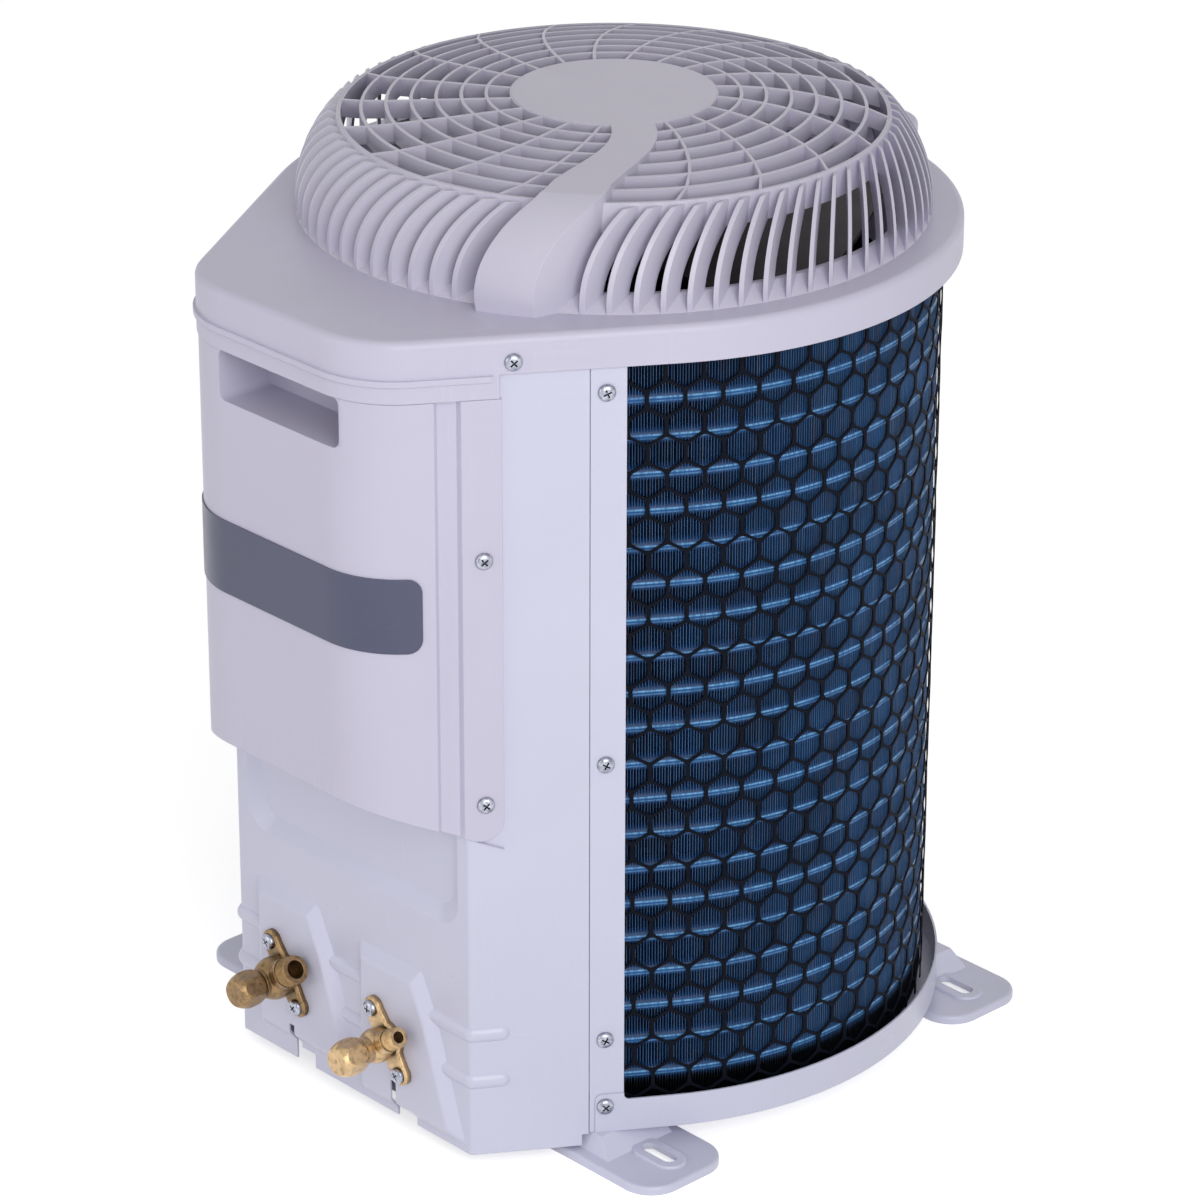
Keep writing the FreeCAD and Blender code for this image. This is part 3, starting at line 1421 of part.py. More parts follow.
def rail_hat(rail, inset, top):
    """Raised middle of a rail that carries the pan."""
    half = rail["half"] - RAIL_HAT_BACK
    w = RAIL_HAT_W / 2
    low = rounded_plan(half + RAIL_HAT_SLOPE - inset, w + 6 - inset, rail["y"], 0)
    high = rounded_plan(half - inset, w - inset, rail["y"], top)
    return Part.makeLoft([low, high], True, True)


def rounded_plan(half_x, half_y, y, z):
    points = [
        Vector(-half_x, y - half_y, z),
        Vector(half_x, y - half_y, z),
        Vector(half_x, y + half_y, z),
        Vector(-half_x, y + half_y, z),
        Vector(-half_x, y - half_y, z),
    ]
    return Part.makePolygon(points)


def foot_rail(rail):
    """Stamped rail: flat slotted feet, turned-down rim, raised middle."""
    plate = rail_end_face(rail, 0.0, 0).extrude(UP * FOOT_TOP)
    tops = [e for e in plate.Edges if e.BoundBox.ZMin > FOOT_TOP - 0.01]
    plate = plate.makeFillet(RAIL_LIP, tops)
    outer = plate.fuse(rail_hat(rail, 0.0, PAN_Z))
    under = rail_end_face(rail, RAIL_T, 0).extrude(UP * (FOOT_TOP - RAIL_T))
    under = under.fuse(rail_hat(rail, RAIL_T, PAN_Z - RAIL_T))
    shell = outer.cut(under)
    for side in SIDES:
        x = side * rail["slot_x"]
        rim = slot_face(x, rail["slot_y"], FOOT_TOP - RAIL_T, SLOT_L + 2 * SLOT_RIM, SLOT_R + SLOT_RIM)
        rim = rim.extrude(UP * (RAIL_T + SLOT_RIM_H))
        rim = rim.makeFillet(SLOT_RIM_H - 0.4, [e for e in rim.Edges if e.BoundBox.ZMin > FOOT_TOP + 1])
        shell = shell.fuse(rim)
        hole = slot_face(x, rail["slot_y"], -1, SLOT_L, SLOT_R).extrude(UP * 20)
        shell = shell.cut(hole)
    for p in rail_bolt_points():
        shell = shell.cut(cylinder(BOLT_R + FIT_GAP, p + UP, p - UP * 14))
    return shell.removeSplitter()


def rail_bolts():
    bolts = []
    for p in rail_bolt_points():
        head = hexagon(BOLT_HEAD_AF, p, UP, BOLT_HEAD_H)
        bolts.append(head.fuse(cylinder(BOLT_R, p - UP * BOLT_L, p + UP)))
    return Part.makeCompound(bolts)


# Compressor group

def compressor():
    z1 = COMP_Z0 + COMP_H
    low = COMP_Z0 + COMP_DOME
    high = z1 - COMP_DOME
    k = COMP_DOME * 0.3
    edges = [
        line(Vector(0, 0, COMP_Z0), Vector(COMP_R * 0.5, 0, COMP_Z0)),
        arc(Vector(COMP_R * 0.5, 0, COMP_Z0), Vector(COMP_R * 0.86, 0, COMP_Z0 + k), Vector(COMP_R, 0, low)),
        line(Vector(COMP_R, 0, low), Vector(COMP_R, 0, high)),
        arc(Vector(COMP_R, 0, high), Vector(COMP_R * 0.86, 0, z1 - k), Vector(COMP_R * 0.5, 0, z1)),
        line(Vector(COMP_R * 0.5, 0, z1), Vector(0, 0, z1)),
        line(Vector(0, 0, z1), Vector(0, 0, COMP_Z0)),
    ]
    body = revolved(face_of(edges))
    bands = [ring(COMP_R + COMP_BAND, COMP_R - 1, z, z + COMP_BAND_H) for z in (low, high - COMP_BAND_H)]
    plate_z = PAN_Z + SHEET + PLATFORM_H + GROMMET_H
    feet = []
    for i in range(COMP_FEET):
        p = polar(COMP_FOOT_R, COMP_FOOT_PHASE + i * 360.0 / COMP_FEET, plate_z)
        across = p.cross(UP).normalize() * COMP_FOOT_PAD
        root = polar(COMP_R * 0.4, COMP_FOOT_PHASE + i * 360.0 / COMP_FEET, plate_z)
        arm = polygon([root - across * 2, p - across, p + across, root + across * 2])
        feet.append(arm.extrude(UP * COMP_FOOT_T))
        feet.append(Part.makeCylinder(COMP_FOOT_PAD, COMP_FOOT_T, p))
    stub = Part.makeCylinder(DISCHARGE_R + 2, 8, Vector(0, 0, z1 - 2))
    whole = fused([body] + bands + feet + [stub])
    whole = whole.cut(Part.makeCylinder(DISCHARGE_R + RUN_GAP, 8, Vector(0, 0, z1 + 1)))
    whole.translate(Vector(COMP_X, COMP_Y, 0))
    for p in nut_places():
        whole = whole.cut(cylinder(STUD_R + FIT_GAP, p, p + UP * 40))
    return whole


def grommets():
    pieces = []
    for p in nut_places():
        body = cylinder(GROMMET_R, p, p + UP * GROMMET_H)
        groove = cylinder(GROMMET_R + 1, p + UP * 4.5, p + UP * 7.0)
        groove = groove.cut(cylinder(GROMMET_R - 2.5, p + UP * 4.5, p + UP * 7.0))
        bore = cylinder(STUD_R + FIT_GAP, p - UP, p + UP * (GROMMET_H + 1))
        pieces.append(body.cut(groove).cut(bore))
    return Part.makeCompound(pieces)


def foot_nuts():
    """Studs of the pan with their flange nuts."""
    pieces = []
    for p in nut_places():
        seat = p + UP * (GROMMET_H + COMP_FOOT_T)
        stud = cylinder(STUD_R, p - UP * 5, seat + UP * STUD_TOP)
        washer = cylinder(8.0, seat, seat + UP * 1.5)
        nut = hexagon(NUT_AF - 3, seat + UP, UP, NUT_H)
        pieces.append(fused([stud, washer, nut]))
    return Part.makeCompound(pieces)


def terminal_cover():
    """Domed cover over the compressor's terminals."""
    z = COMP_Z0 + COMP_H
    centre = Vector(COMP_X + TERMINAL_X, COMP_Y, z - COMP_DOME)
    body = Part.makeCylinder(TERMINAL_R, TERMINAL_H + COMP_DOME, centre)
    tops = [e for e in body.Edges if e.BoundBox.ZMin > z + TERMINAL_H - 0.01]
    body = body.makeFillet(4.0, tops)
    shell = compressor()
    return body.cut(shell)


def accumulator():
    z1 = ACC_Z0 + ACC_H
    body = Part.makeCylinder(ACC_R, ACC_H, Vector(ACC_X, ACC_Y, ACC_Z0))
    rims = [e for e in body.Edges if e.BoundBox.ZLength < 0.01]
    body = body.makeFillet(11.0, rims)
    neck = Part.makeCylinder(7.5, 12, Vector(ACC_X, ACC_Y, z1 - 4))
    socket = Part.makeCylinder(GAS["pipe_r"] + RUN_GAP, 12, Vector(ACC_X, ACC_Y, z1 + 2))
    toward = (Vector(COMP_X, COMP_Y, 0) - Vector(ACC_X, ACC_Y, 0)).normalize()
    gap = math.hypot(COMP_X - ACC_X, COMP_Y - ACC_Y) - COMP_R
    base = Vector(ACC_X, ACC_Y, 0)
    elbow_points = [base + UP * (ACC_Z0 + 3), base + UP * ACC_ELBOW_Z, base + toward * gap + UP * ACC_ELBOW_Z]
    elbow = pipe(elbow_points, ACC_PIPE_R - 1.5)
    across = toward.cross(UP) * 9.0
    near = base + toward * (ACC_R - 3) + UP * (ACC_Z0 + ACC_H * 0.55)
    far = base + toward * (gap + 6) + UP * (ACC_Z0 + ACC_H * 0.55)
    bracket = polygon([near - across, near + across, far + across, far - across]).extrude(UP * STRAP_H)
    body_hull = Part.makeCylinder(COMP_R, COMP_H, Vector(COMP_X, COMP_Y, COMP_Z0))
    whole = fused([body, neck, elbow, bracket.cut(body_hull)])
    return whole.cut(socket).cut(body_hull)


# Pipes

def valve_rear(valve):
    """End of a valve's rear socket inside the panel."""
    return valve_axis(valve, STUB_SOCKET - STUB_L)


def suction_pipe():
    z1 = ACC_Z0 + ACC_H + 2
    rear = valve_rear(GAS)
    points = [
        Vector(ACC_X, ACC_Y, z1),
        Vector(ACC_X, ACC_Y, SUCTION_TOP),
        Vector(ACC_X, SUCTION_Y, SUCTION_TOP),
        Vector(ACC_X - SUCTION_SWING, SUCTION_Y, SUCTION_TOP - SUCTION_DROP),
        Vector(rear.x, SUCTION_Y, rear.z),
        rear,
    ]
    return pipe(points, GAS["pipe_r"])


def discharge_pipe():
    z1 = COMP_Z0 + COMP_H + 1
    port = coil_port(COIL_ROWS - 1)
    riser = side_point(RIGHT, RISER_S, COIL_TUBE_D, 0)
    points = [
        Vector(COMP_X, COMP_Y, z1),
        Vector(COMP_X, COMP_Y, DISCHARGE_TOP),
        riser + UP * DISCHARGE_TOP,
        riser + UP * port.z,
        port,
    ]
    return pipe(points, DISCHARGE_R)


def liquid_line():
    rear = valve_rear(LIQUID)
    port = coil_port(0)
    corner = side_point(RIGHT, RISER_S, COIL_TUBE_D, port.z)
    top = port.z + LIQUID_RISE
    down = Vector(rear.x, LIQUID_Y, 0)
    points = [port, corner, corner + UP * LIQUID_RISE, down + UP * top, down + UP * rear.z, rear]
    line_body = pipe(points, LIQUID["pipe_r"])
    mid = down + UP * (rear.z + top) * 0.5
    strainer = cylinder(STRAINER_R, mid - UP * STRAINER_L / 2, mid + UP * STRAINER_L / 2)
    ends = [e for e in strainer.Edges if e.BoundBox.ZLength < 0.01]
    return line_body.fuse(strainer.makeFillet(4.0, ends))


# Service valves

def flange(valve):
    """Two-eared mounting flange with soft edges, tilted on the panel."""
    tilt = math.radians(VALVE_TILT)
    lengthwise = Vector(-math.sin(tilt), 0, math.cos(tilt))
    across = port_axis()
    centre = valve_axis(valve, 0)
    out = Vector(0, -FLANGE_T, 0)
    pieces = [cylinder(FLANGE_MID_R, centre, centre + out)]
    for end in (1, -1):
        eye = centre + lengthwise * (end * FLANGE_SPAN / 2)
        pieces.append(cylinder(FLANGE_END_R, eye, eye + out))
        a = across * (FLANGE_END_R - 0.4)
        b = across * (FLANGE_END_R + 1.5)
        pieces.append(polygon([centre - b, centre + b, eye + a, eye - a]).extrude(out))
    plate = fused(pieces)
    front = [e for e in plate.Edges if e.BoundBox.YMax < centre.y - FLANGE_T + 0.01]
    return plate.makeChamfer(FLANGE_ROUND, front)


def port_axis():
    tilt = math.radians(VALVE_TILT)
    return Vector(math.cos(tilt), 0, math.sin(tilt))


def valve_axis(valve, depth):
    """Point on a valve's main axis, at a depth in front of its seat on the panel."""
    return Vector(valve["x"], -VALVE_Y - depth, valve["z"])


def valve_body(valve):
    """Forged body: flange, round ball, neck for the cap, side port, rear socket."""
    neck_tip = VALVE_BODY_L + VALVE_NECK_L
    port = valve_axis(valve, PORT_Y - VALVE_Y)
    port_tip = port + port_axis() * PORT_L
    ball = Part.makeSphere(valve["ball_r"], port, Vector(0, -1, 0))
    ball = ball.common(cylinder(valve["ball_r"] + 1, valve_axis(valve, RUN_GAP), valve_axis(valve, neck_tip)))
    barrel = cylinder(valve["body_r"], valve_axis(valve, 0.5), valve_axis(valve, VALVE_BODY_L))
    neck = cylinder(VALVE_NECK_R, valve_axis(valve, VALVE_BODY_L - 2), valve_axis(valve, neck_tip))
    stub = cylinder(valve["pipe_r"] + STUB_WALL, valve_axis(valve, 2), valve_axis(valve, -STUB_L))
    collar = cylinder(valve["port_r"], port, port + port_axis() * PORT_COLLAR)
    thread = cylinder(valve["thread_r"], port, port_tip)
    whole = fused([flange(valve), ball, barrel, neck, stub, collar, thread])
    deep = valve_axis(valve, neck_tip - STEM_L)
    stem_way = cylinder(STEM_R + RUN_GAP, valve_axis(valve, neck_tip + 1), deep)
    bore = cylinder(valve["bore_r"], port_tip + port_axis(), port_tip - port_axis() * PORT_BORE_L)
    socket_r = valve["pipe_r"] + RUN_GAP
    socket = cylinder(socket_r, valve_axis(valve, -STUB_L - 1), valve_axis(valve, -STUB_L + STUB_SOCKET))
    return drill(whole.cut(stem_way).cut(bore).cut(socket), valve_screw_places())


def valve_stem(valve):
    """Stem with a hexagonal key socket in its outer end."""
    tip = valve_axis(valve, VALVE_BODY_L + VALVE_NECK_L + STEM_OUT)
    inward = Vector(0, 1, 0)
    stem = cylinder(STEM_R, tip, tip + inward * (STEM_L + STEM_OUT - FIT_GAP))
    return stem.cut(hexagon(STEM_KEY_AF, tip - inward, inward, STEM_KEY_DEEP + 1))


def valve_cap(valve):
    """Hexagonal cap with crowned sides, hollow over the neck and stem."""
    base = valve_axis(valve, VALVE_BODY_L + FIT_GAP)
    out = Vector(0, -1, 0)
    bar = hexagon(CAP_AF, base, out, CAP_L)
    r = CAP_AF / math.sqrt(3) + 0.2
    rear = Vector(r - CAP_CROWN, 0, 0)
    front = Vector(r - CAP_CROWN * 1.4, 0, CAP_L)
    edges = [
        line(Vector(), rear),
        arc(rear, Vector(r, 0, CAP_L * 0.45), front),
        line(front, Vector(0, 0, CAP_L)),
        line(Vector(0, 0, CAP_L), Vector()),
    ]
    envelope = revolved(face_of(edges))
    envelope.Placement = along(base, out)
    bore = cylinder(CAP_BORE_R, base - out, base + out * (CAP_L - CAP_WALL))
    return bar.common(envelope).cut(bore)


# Electrical parts behind the cover

def can_clamp_z():
    return CAP_CAN_Z0 + CAP_CAN_H * 0.45


def can_axis():
    return Vector(CAP_CAN_X, -STEEL_NOSE - CAP_CAN_R - CAN_CLAMP_T - 0.2, 0)


def run_capacitor():
    base = can_axis() + UP * CAP_CAN_Z0
    can = cylinder(CAP_CAN_R, base, base + UP * CAP_CAN_H)
    can = can.makeFillet(2.0, [e for e in can.Edges if e.BoundBox.ZLength < 0.01])
    pins = []
    for end in (1, -1):
        foot = base + Vector(end * 7.0, 0, 0)
        pins.append(box(foot.x - 3.2, foot.x + 3.2, foot.y - 0.5, foot.y + 0.5, foot.z - 9.0, foot.z + 1))
    return fused([can] + pins)


def capacitor_clamp():
    z = can_clamp_z()
    axis = can_axis() + UP * (z - CAN_CLAMP_H / 2)
    loop = cylinder(CAP_CAN_R + 0.1 + CAN_CLAMP_T, axis, axis + UP * CAN_CLAMP_H)
    foot_x = axis.x + CAP_CAN_R + CAN_FOOT + CAN_CLAMP_T
    face_y = -STEEL_NOSE
    foot = box(axis.x, foot_x, face_y - CAN_CLAMP_T, face_y, z - CAN_CLAMP_H / 2, z + CAN_CLAMP_H / 2)
    loop = loop.common(box(-HULL_R, HULL_R, -LID_NOSE, face_y, z - CAN_CLAMP_H, z + CAN_CLAMP_H))
    clamp = fused([loop, foot]).cut(cylinder(CAP_CAN_R + 0.1, axis - UP, axis + UP * (CAN_CLAMP_H + 1)))
    return drill(clamp, can_screw_places())


def terminal_block():
    """Barrier terminal block for the link to the indoor unit."""
    x0 = BLOCK_X - BLOCK_L / 2
    y0 = -STEEL_NOSE - BLOCK_D
    z0 = BLOCK_Z - BLOCK_H / 2
    body = box(x0, x0 + BLOCK_L, y0, -STEEL_NOSE, z0, z0 + BLOCK_H)
    inner = BLOCK_L - 2 * BLOCK_END
    ribs = []
    for i in range(BLOCK_WAYS + 1):
        x = x0 + BLOCK_END + inner * i / BLOCK_WAYS - BLOCK_RIB / 2
        ribs.append(box(x, x + BLOCK_RIB, y0 - BLOCK_RIB_OUT, y0 + 1, z0, z0 + BLOCK_H))
    return drill(fused([body] + ribs), block_screw_places(), depth=BLOCK_D + 2)


def terminal_points():
    x0 = BLOCK_X - BLOCK_L / 2 + BLOCK_END
    inner = BLOCK_L - 2 * BLOCK_END
    y = -STEEL_NOSE - BLOCK_D
    points = []
    for i in range(BLOCK_WAYS):
        for row in (1, -1):
            points.append(Vector(x0 + inner * (i + 0.5) / BLOCK_WAYS, y, BLOCK_Z + row * BLOCK_H * 0.24))
    return points


def terminal_clamps():
    """Brass clamp plates on the block's ways."""
    plates = []
    w = (BLOCK_L - 2 * BLOCK_END) / BLOCK_WAYS - BLOCK_RIB - 1.0
    for p in terminal_points():
        plates.append(box(p.x - w / 2, p.x + w / 2, p.y - 1.4, p.y, p.z - 4.0, p.z + 4.0))
    return Part.makeCompound(plates)


def save(name, shape):
    placed = shape.copy()
    placed.translate(Vector(0, AXIS_Y, 0))
    placed.exportStep(os.path.join("parts", name + ".step"))


def main():
    os.makedirs("parts", exist_ok=True)
    save("top_cover", top_cover())
    save("fan_guard", fan_guard())
    save("fan_motor", fan_motor())
    save("motor_shaft", motor_shaft())
    save("fan_impeller", fan_impeller())
    save("fan_nut", fan_nut())
    save("nose_cover", nose_cover())
    save("cover_plate", cover_plate())
    save("nose_panel", nose_panel())
    right, left = both_sides(edge_strip())
    save("edge_strip_right", right)
    save("edge_strip_left", left)
    right, left = both_sides(coil_end_plate())
    save("coil_end_plate_right", right)
    save("coil_end_plate_left", left)
    save("coil_fins", coil_fins())
    save("coil_bends_right", bends_right())
    save("coil_bends_left", bends_left())
    save("coil_net", coil_net())
    save("base_pan", base_pan())
    save("front_foot_rail", foot_rail(FRONT_RAIL))
    save("rear_foot_rail", foot_rail(REAR_RAIL))
    save("rail_bolts", rail_bolts())
    save("compressor", compressor())
    save("compressor_grommets", grommets())
    save("compressor_nuts", foot_nuts())
    save("compressor_terminal_cover", terminal_cover())
    save("accumulator", accumulator())
    save("suction_pipe", suction_pipe())
    save("discharge_pipe", discharge_pipe())
    save("liquid_line", liquid_line())
    for name, valve in VALVES.items():
        save(name + "_valve_body", valve_body(valve))
        save(name + "_valve_stem", valve_stem(valve))
        save(name + "_valve_cap", valve_cap(valve))
    save("run_capacitor", run_capacitor())
    save("capacitor_clamp", capacitor_clamp())
    save("terminal_block", terminal_block())
    save("terminal_clamps", terminal_clamps())
    save("lid_screws", screws(lid_screw_places()))
    save("cover_screws", screws(cover_screw_places()))
    save("strip_screws", screws(strip_screw_places()))
    save("rim_screws", screws(rim_screw_places()))
    save("valve_screws", screws(valve_screw_places()))
    save("motor_screws", screws(motor_screw_places()))
    save("electrical_screws", screws(can_screw_places() + block_screw_places(), BLOCK_D + 4.0))


main()
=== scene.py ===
"""Looks of a barrel-shaped outdoor condensing unit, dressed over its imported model.

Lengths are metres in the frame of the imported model: X to the right, Y to the back, Z up.
The service nose looks towards -Y, and the round coil wraps the back. Every random draw
starts from SEED, so that each run gives the same unit.
"""

from __future__ import annotations

import json
import logging
import math
import random
from dataclasses import dataclass, field, replace
from enum import Enum
from functools import cached_property

import bmesh
import bpy
from mathutils import Matrix, Vector, noise

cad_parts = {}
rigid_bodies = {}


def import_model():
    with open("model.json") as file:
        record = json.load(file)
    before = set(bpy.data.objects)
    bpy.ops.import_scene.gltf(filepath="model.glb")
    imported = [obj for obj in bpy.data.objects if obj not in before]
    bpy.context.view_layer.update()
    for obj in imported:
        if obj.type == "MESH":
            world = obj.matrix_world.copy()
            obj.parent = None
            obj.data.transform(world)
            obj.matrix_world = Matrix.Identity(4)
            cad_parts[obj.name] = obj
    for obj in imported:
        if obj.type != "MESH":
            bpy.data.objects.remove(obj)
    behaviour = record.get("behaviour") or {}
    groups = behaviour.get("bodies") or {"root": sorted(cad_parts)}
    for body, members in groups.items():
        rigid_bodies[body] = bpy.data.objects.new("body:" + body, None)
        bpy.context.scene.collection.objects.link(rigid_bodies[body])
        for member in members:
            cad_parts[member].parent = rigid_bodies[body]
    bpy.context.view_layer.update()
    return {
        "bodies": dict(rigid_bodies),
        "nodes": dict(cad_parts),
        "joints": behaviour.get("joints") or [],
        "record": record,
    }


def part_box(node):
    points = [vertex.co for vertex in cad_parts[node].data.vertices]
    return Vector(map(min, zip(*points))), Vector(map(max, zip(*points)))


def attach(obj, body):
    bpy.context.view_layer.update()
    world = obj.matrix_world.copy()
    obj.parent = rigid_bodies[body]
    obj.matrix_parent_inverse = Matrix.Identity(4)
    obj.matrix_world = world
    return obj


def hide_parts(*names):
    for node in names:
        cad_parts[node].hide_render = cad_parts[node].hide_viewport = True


LOG = logging.getLogger("condensing_unit")

MM = 0.001
CABINET = "cabinet"
SEED = 7

DISPLAY_WHITE = 255.0
CURVE_KNEE = 0.04045
CURVE_FOOT = 12.92
CURVE_LIFT = 0.055
CURVE_POWER = 2.4

WHITE = (1.0, 1.0, 1.0, 1.0)

Colour = tuple[float, float, float, float]
Place = tuple[Vector, Vector]
Spot = tuple[float, float, float]
Form = bmesh.types.BMesh
Mesh = bpy.types.Mesh
Piece = bpy.types.Object
Socket = bpy.types.NodeSocket
Sockets = bpy.types.bpy_prop_collection
Tree = bpy.types.NodeTree


def srgb(red: float, green: float, blue: float) -> Colour:
    """Turn a display colour of 0 to 255 into the linear colour that a shader takes.

    Args:
        red: display value of red.
        green: display value of green.
        blue: display value of blue.

    Returns:
        The linear colour with full alpha.
    """

    def linear(value: float) -> float:
        """Undo the display curve for one channel."""
        share = value / DISPLAY_WHITE
        if share <= CURVE_KNEE:
            return share / CURVE_FOOT
        return ((share + CURVE_LIFT) / (1 + CURVE_LIFT)) ** CURVE_POWER

    return linear(red), linear(green), linear(blue), 1.0


class Side(Enum):
    """The two flat side faces beside the nose."""

    RIGHT = 1
    LEFT = -1


# Node trees

FLOAT = "NodeSocketFloat"
COLOUR = "NodeSocketColor"
VECTOR = "NodeSocketVector"


class NodeSheet:
    """Places and joins the nodes of one node tree."""

    def __init__(self, tree: Tree) -> None:
        """Keep the tree that the nodes go into."""
        self.tree = tree

    def add(self, kind: str, inputs: dict | None = None, **settings: object) -> bpy.types.Node:
        """Place a node.

        Args:
            kind: the node's type name.
            inputs: values or sockets for its inputs, by name or number.
            settings: the node's own settings.

        Returns:
            The new node.
        """
        node = self.tree.nodes.new(kind)
        for name, value in settings.items():
            setattr(node, name, value)
        for name, value in (inputs or {}).items():
            if isinstance(value, Socket):
                self.tree.links.new(value, node.inputs[name])
            else:
                node.inputs[name].default_value = value
        return node

    def sum(self, operation: str, *terms: object, clamp: bool = False) -> Socket:
        """Work out a value from one, two or three others.

        Args:
            operation: the kind of sum, as the Math node names it.
            terms: sockets or numbers.
            clamp: whether the answer stays between 0 and 1.

        Returns:
            The answer's socket.
        """
        node = self.add("ShaderNodeMath", dict(enumerate(terms)), operation=operation, use_clamp=clamp)
        return node.outputs[0]

    def product(self, *terms: object) -> Socket:
        """Multiply two values and keep the answer between 0 and 1."""
        return self.sum("MULTIPLY", *terms, clamp=True)

    def apart(self, value: Socket, level: float) -> Socket:
        """Give how far a value lies from a level, on either side."""
        return self.sum("ABSOLUTE", self.sum("SUBTRACT", value, level))

    def spread(
        self, value: Socket, low: float, high: float, to_low: float = 0.0, to_high: float = 1.0
    ) -> Socket:
        """Map a range of values onto another, clamped.

        Args:
            value: the value to map.
            low: where the range starts.
            high: where the range ends.
            to_low: the answer at low.
            to_high: the answer at high.

        Returns:
            The answer's socket.
        """
        names = {"Value": value, "From Min": low, "From Max": high, "To Min": to_low, "To Max": to_high}
        return self.add("ShaderNodeMapRange", names).outputs["Result"]

    def blend(self, share: object, base: object, top: object) -> Socket:
        """Mix two colours.

        Args:
            share: how much of the top colour shows.
            base: the colour at share 0.
            top: the colour at share 1.

        Returns:
            The mixed colour's socket.
        """
        node = self.add("ShaderNodeMix", {0: share, 6: base, 7: top}, data_type="RGBA")
        return node.outputs[2]

    def place(self, scale: Spot = (1.0, 1.0, 1.0)) -> Socket:
        """Give the object's own coordinates, each axis multiplied by its scale."""
        coordinates = self.add("ShaderNodeTexCoord").outputs["Object"]
        return self.add("ShaderNodeMapping", {"Vector": coordinates, "Scale": scale}).outputs["Vector"]

    def noise(self, where: Socket, scale: object, detail: float) -> Socket:
        """Give a smooth random pattern.

        Args:
            where: the coordinates that it follows.
            scale: socket or number; a larger one makes finer grains.
            detail: how many finer layers it carries.

        Returns:
            The pattern's socket, which keeps mostly between 0.3 and 0.7.
        """
        names = {"Vector": where, "Scale": scale, "Detail": detail}
        return self.add("ShaderNodeTexNoise", names).outputs["Fac"]

    def face(self) -> Socket:
        """Give the direction that the surface faces."""
        return self.add("ShaderNodeNewGeometry").outputs["Normal"]

    def upward(self, vector: Socket) -> Socket:
        """Give the upward part of a direction or a place."""
        return self.add("ShaderNodeSeparateXYZ", {0: vector}).outputs["Z"]

    def effect(self, group: Tree, **values: object) -> Sockets:
        """Place a shared effect with its own values and give its outputs."""
        return self.add("ShaderNodeGroup", values, node_tree=group).outputs

    def seen_directly(self) -> Socket:
        """Say whether the camera looks at a surface straight, in a mirror or through glass."""
        path = self.add("ShaderNodeLightPath").outputs
        seen = self.sum("MAXIMUM", path["Is Camera Ray"], path["Is Glossy Ray"])
        return self.sum("MAXIMUM", seen, path["Is Transmission Ray"])


def blank_sheet(owner: bpy.types.Material | bpy.types.World) -> NodeSheet:
    """Give a new material or world an empty node tree.

    Args:
        owner: the new material or world.

    Returns:
        The sheet of its tree.
    """
    owner.use_nodes = True
    owner.node_tree.nodes.clear()
    return NodeSheet(owner.node_tree)


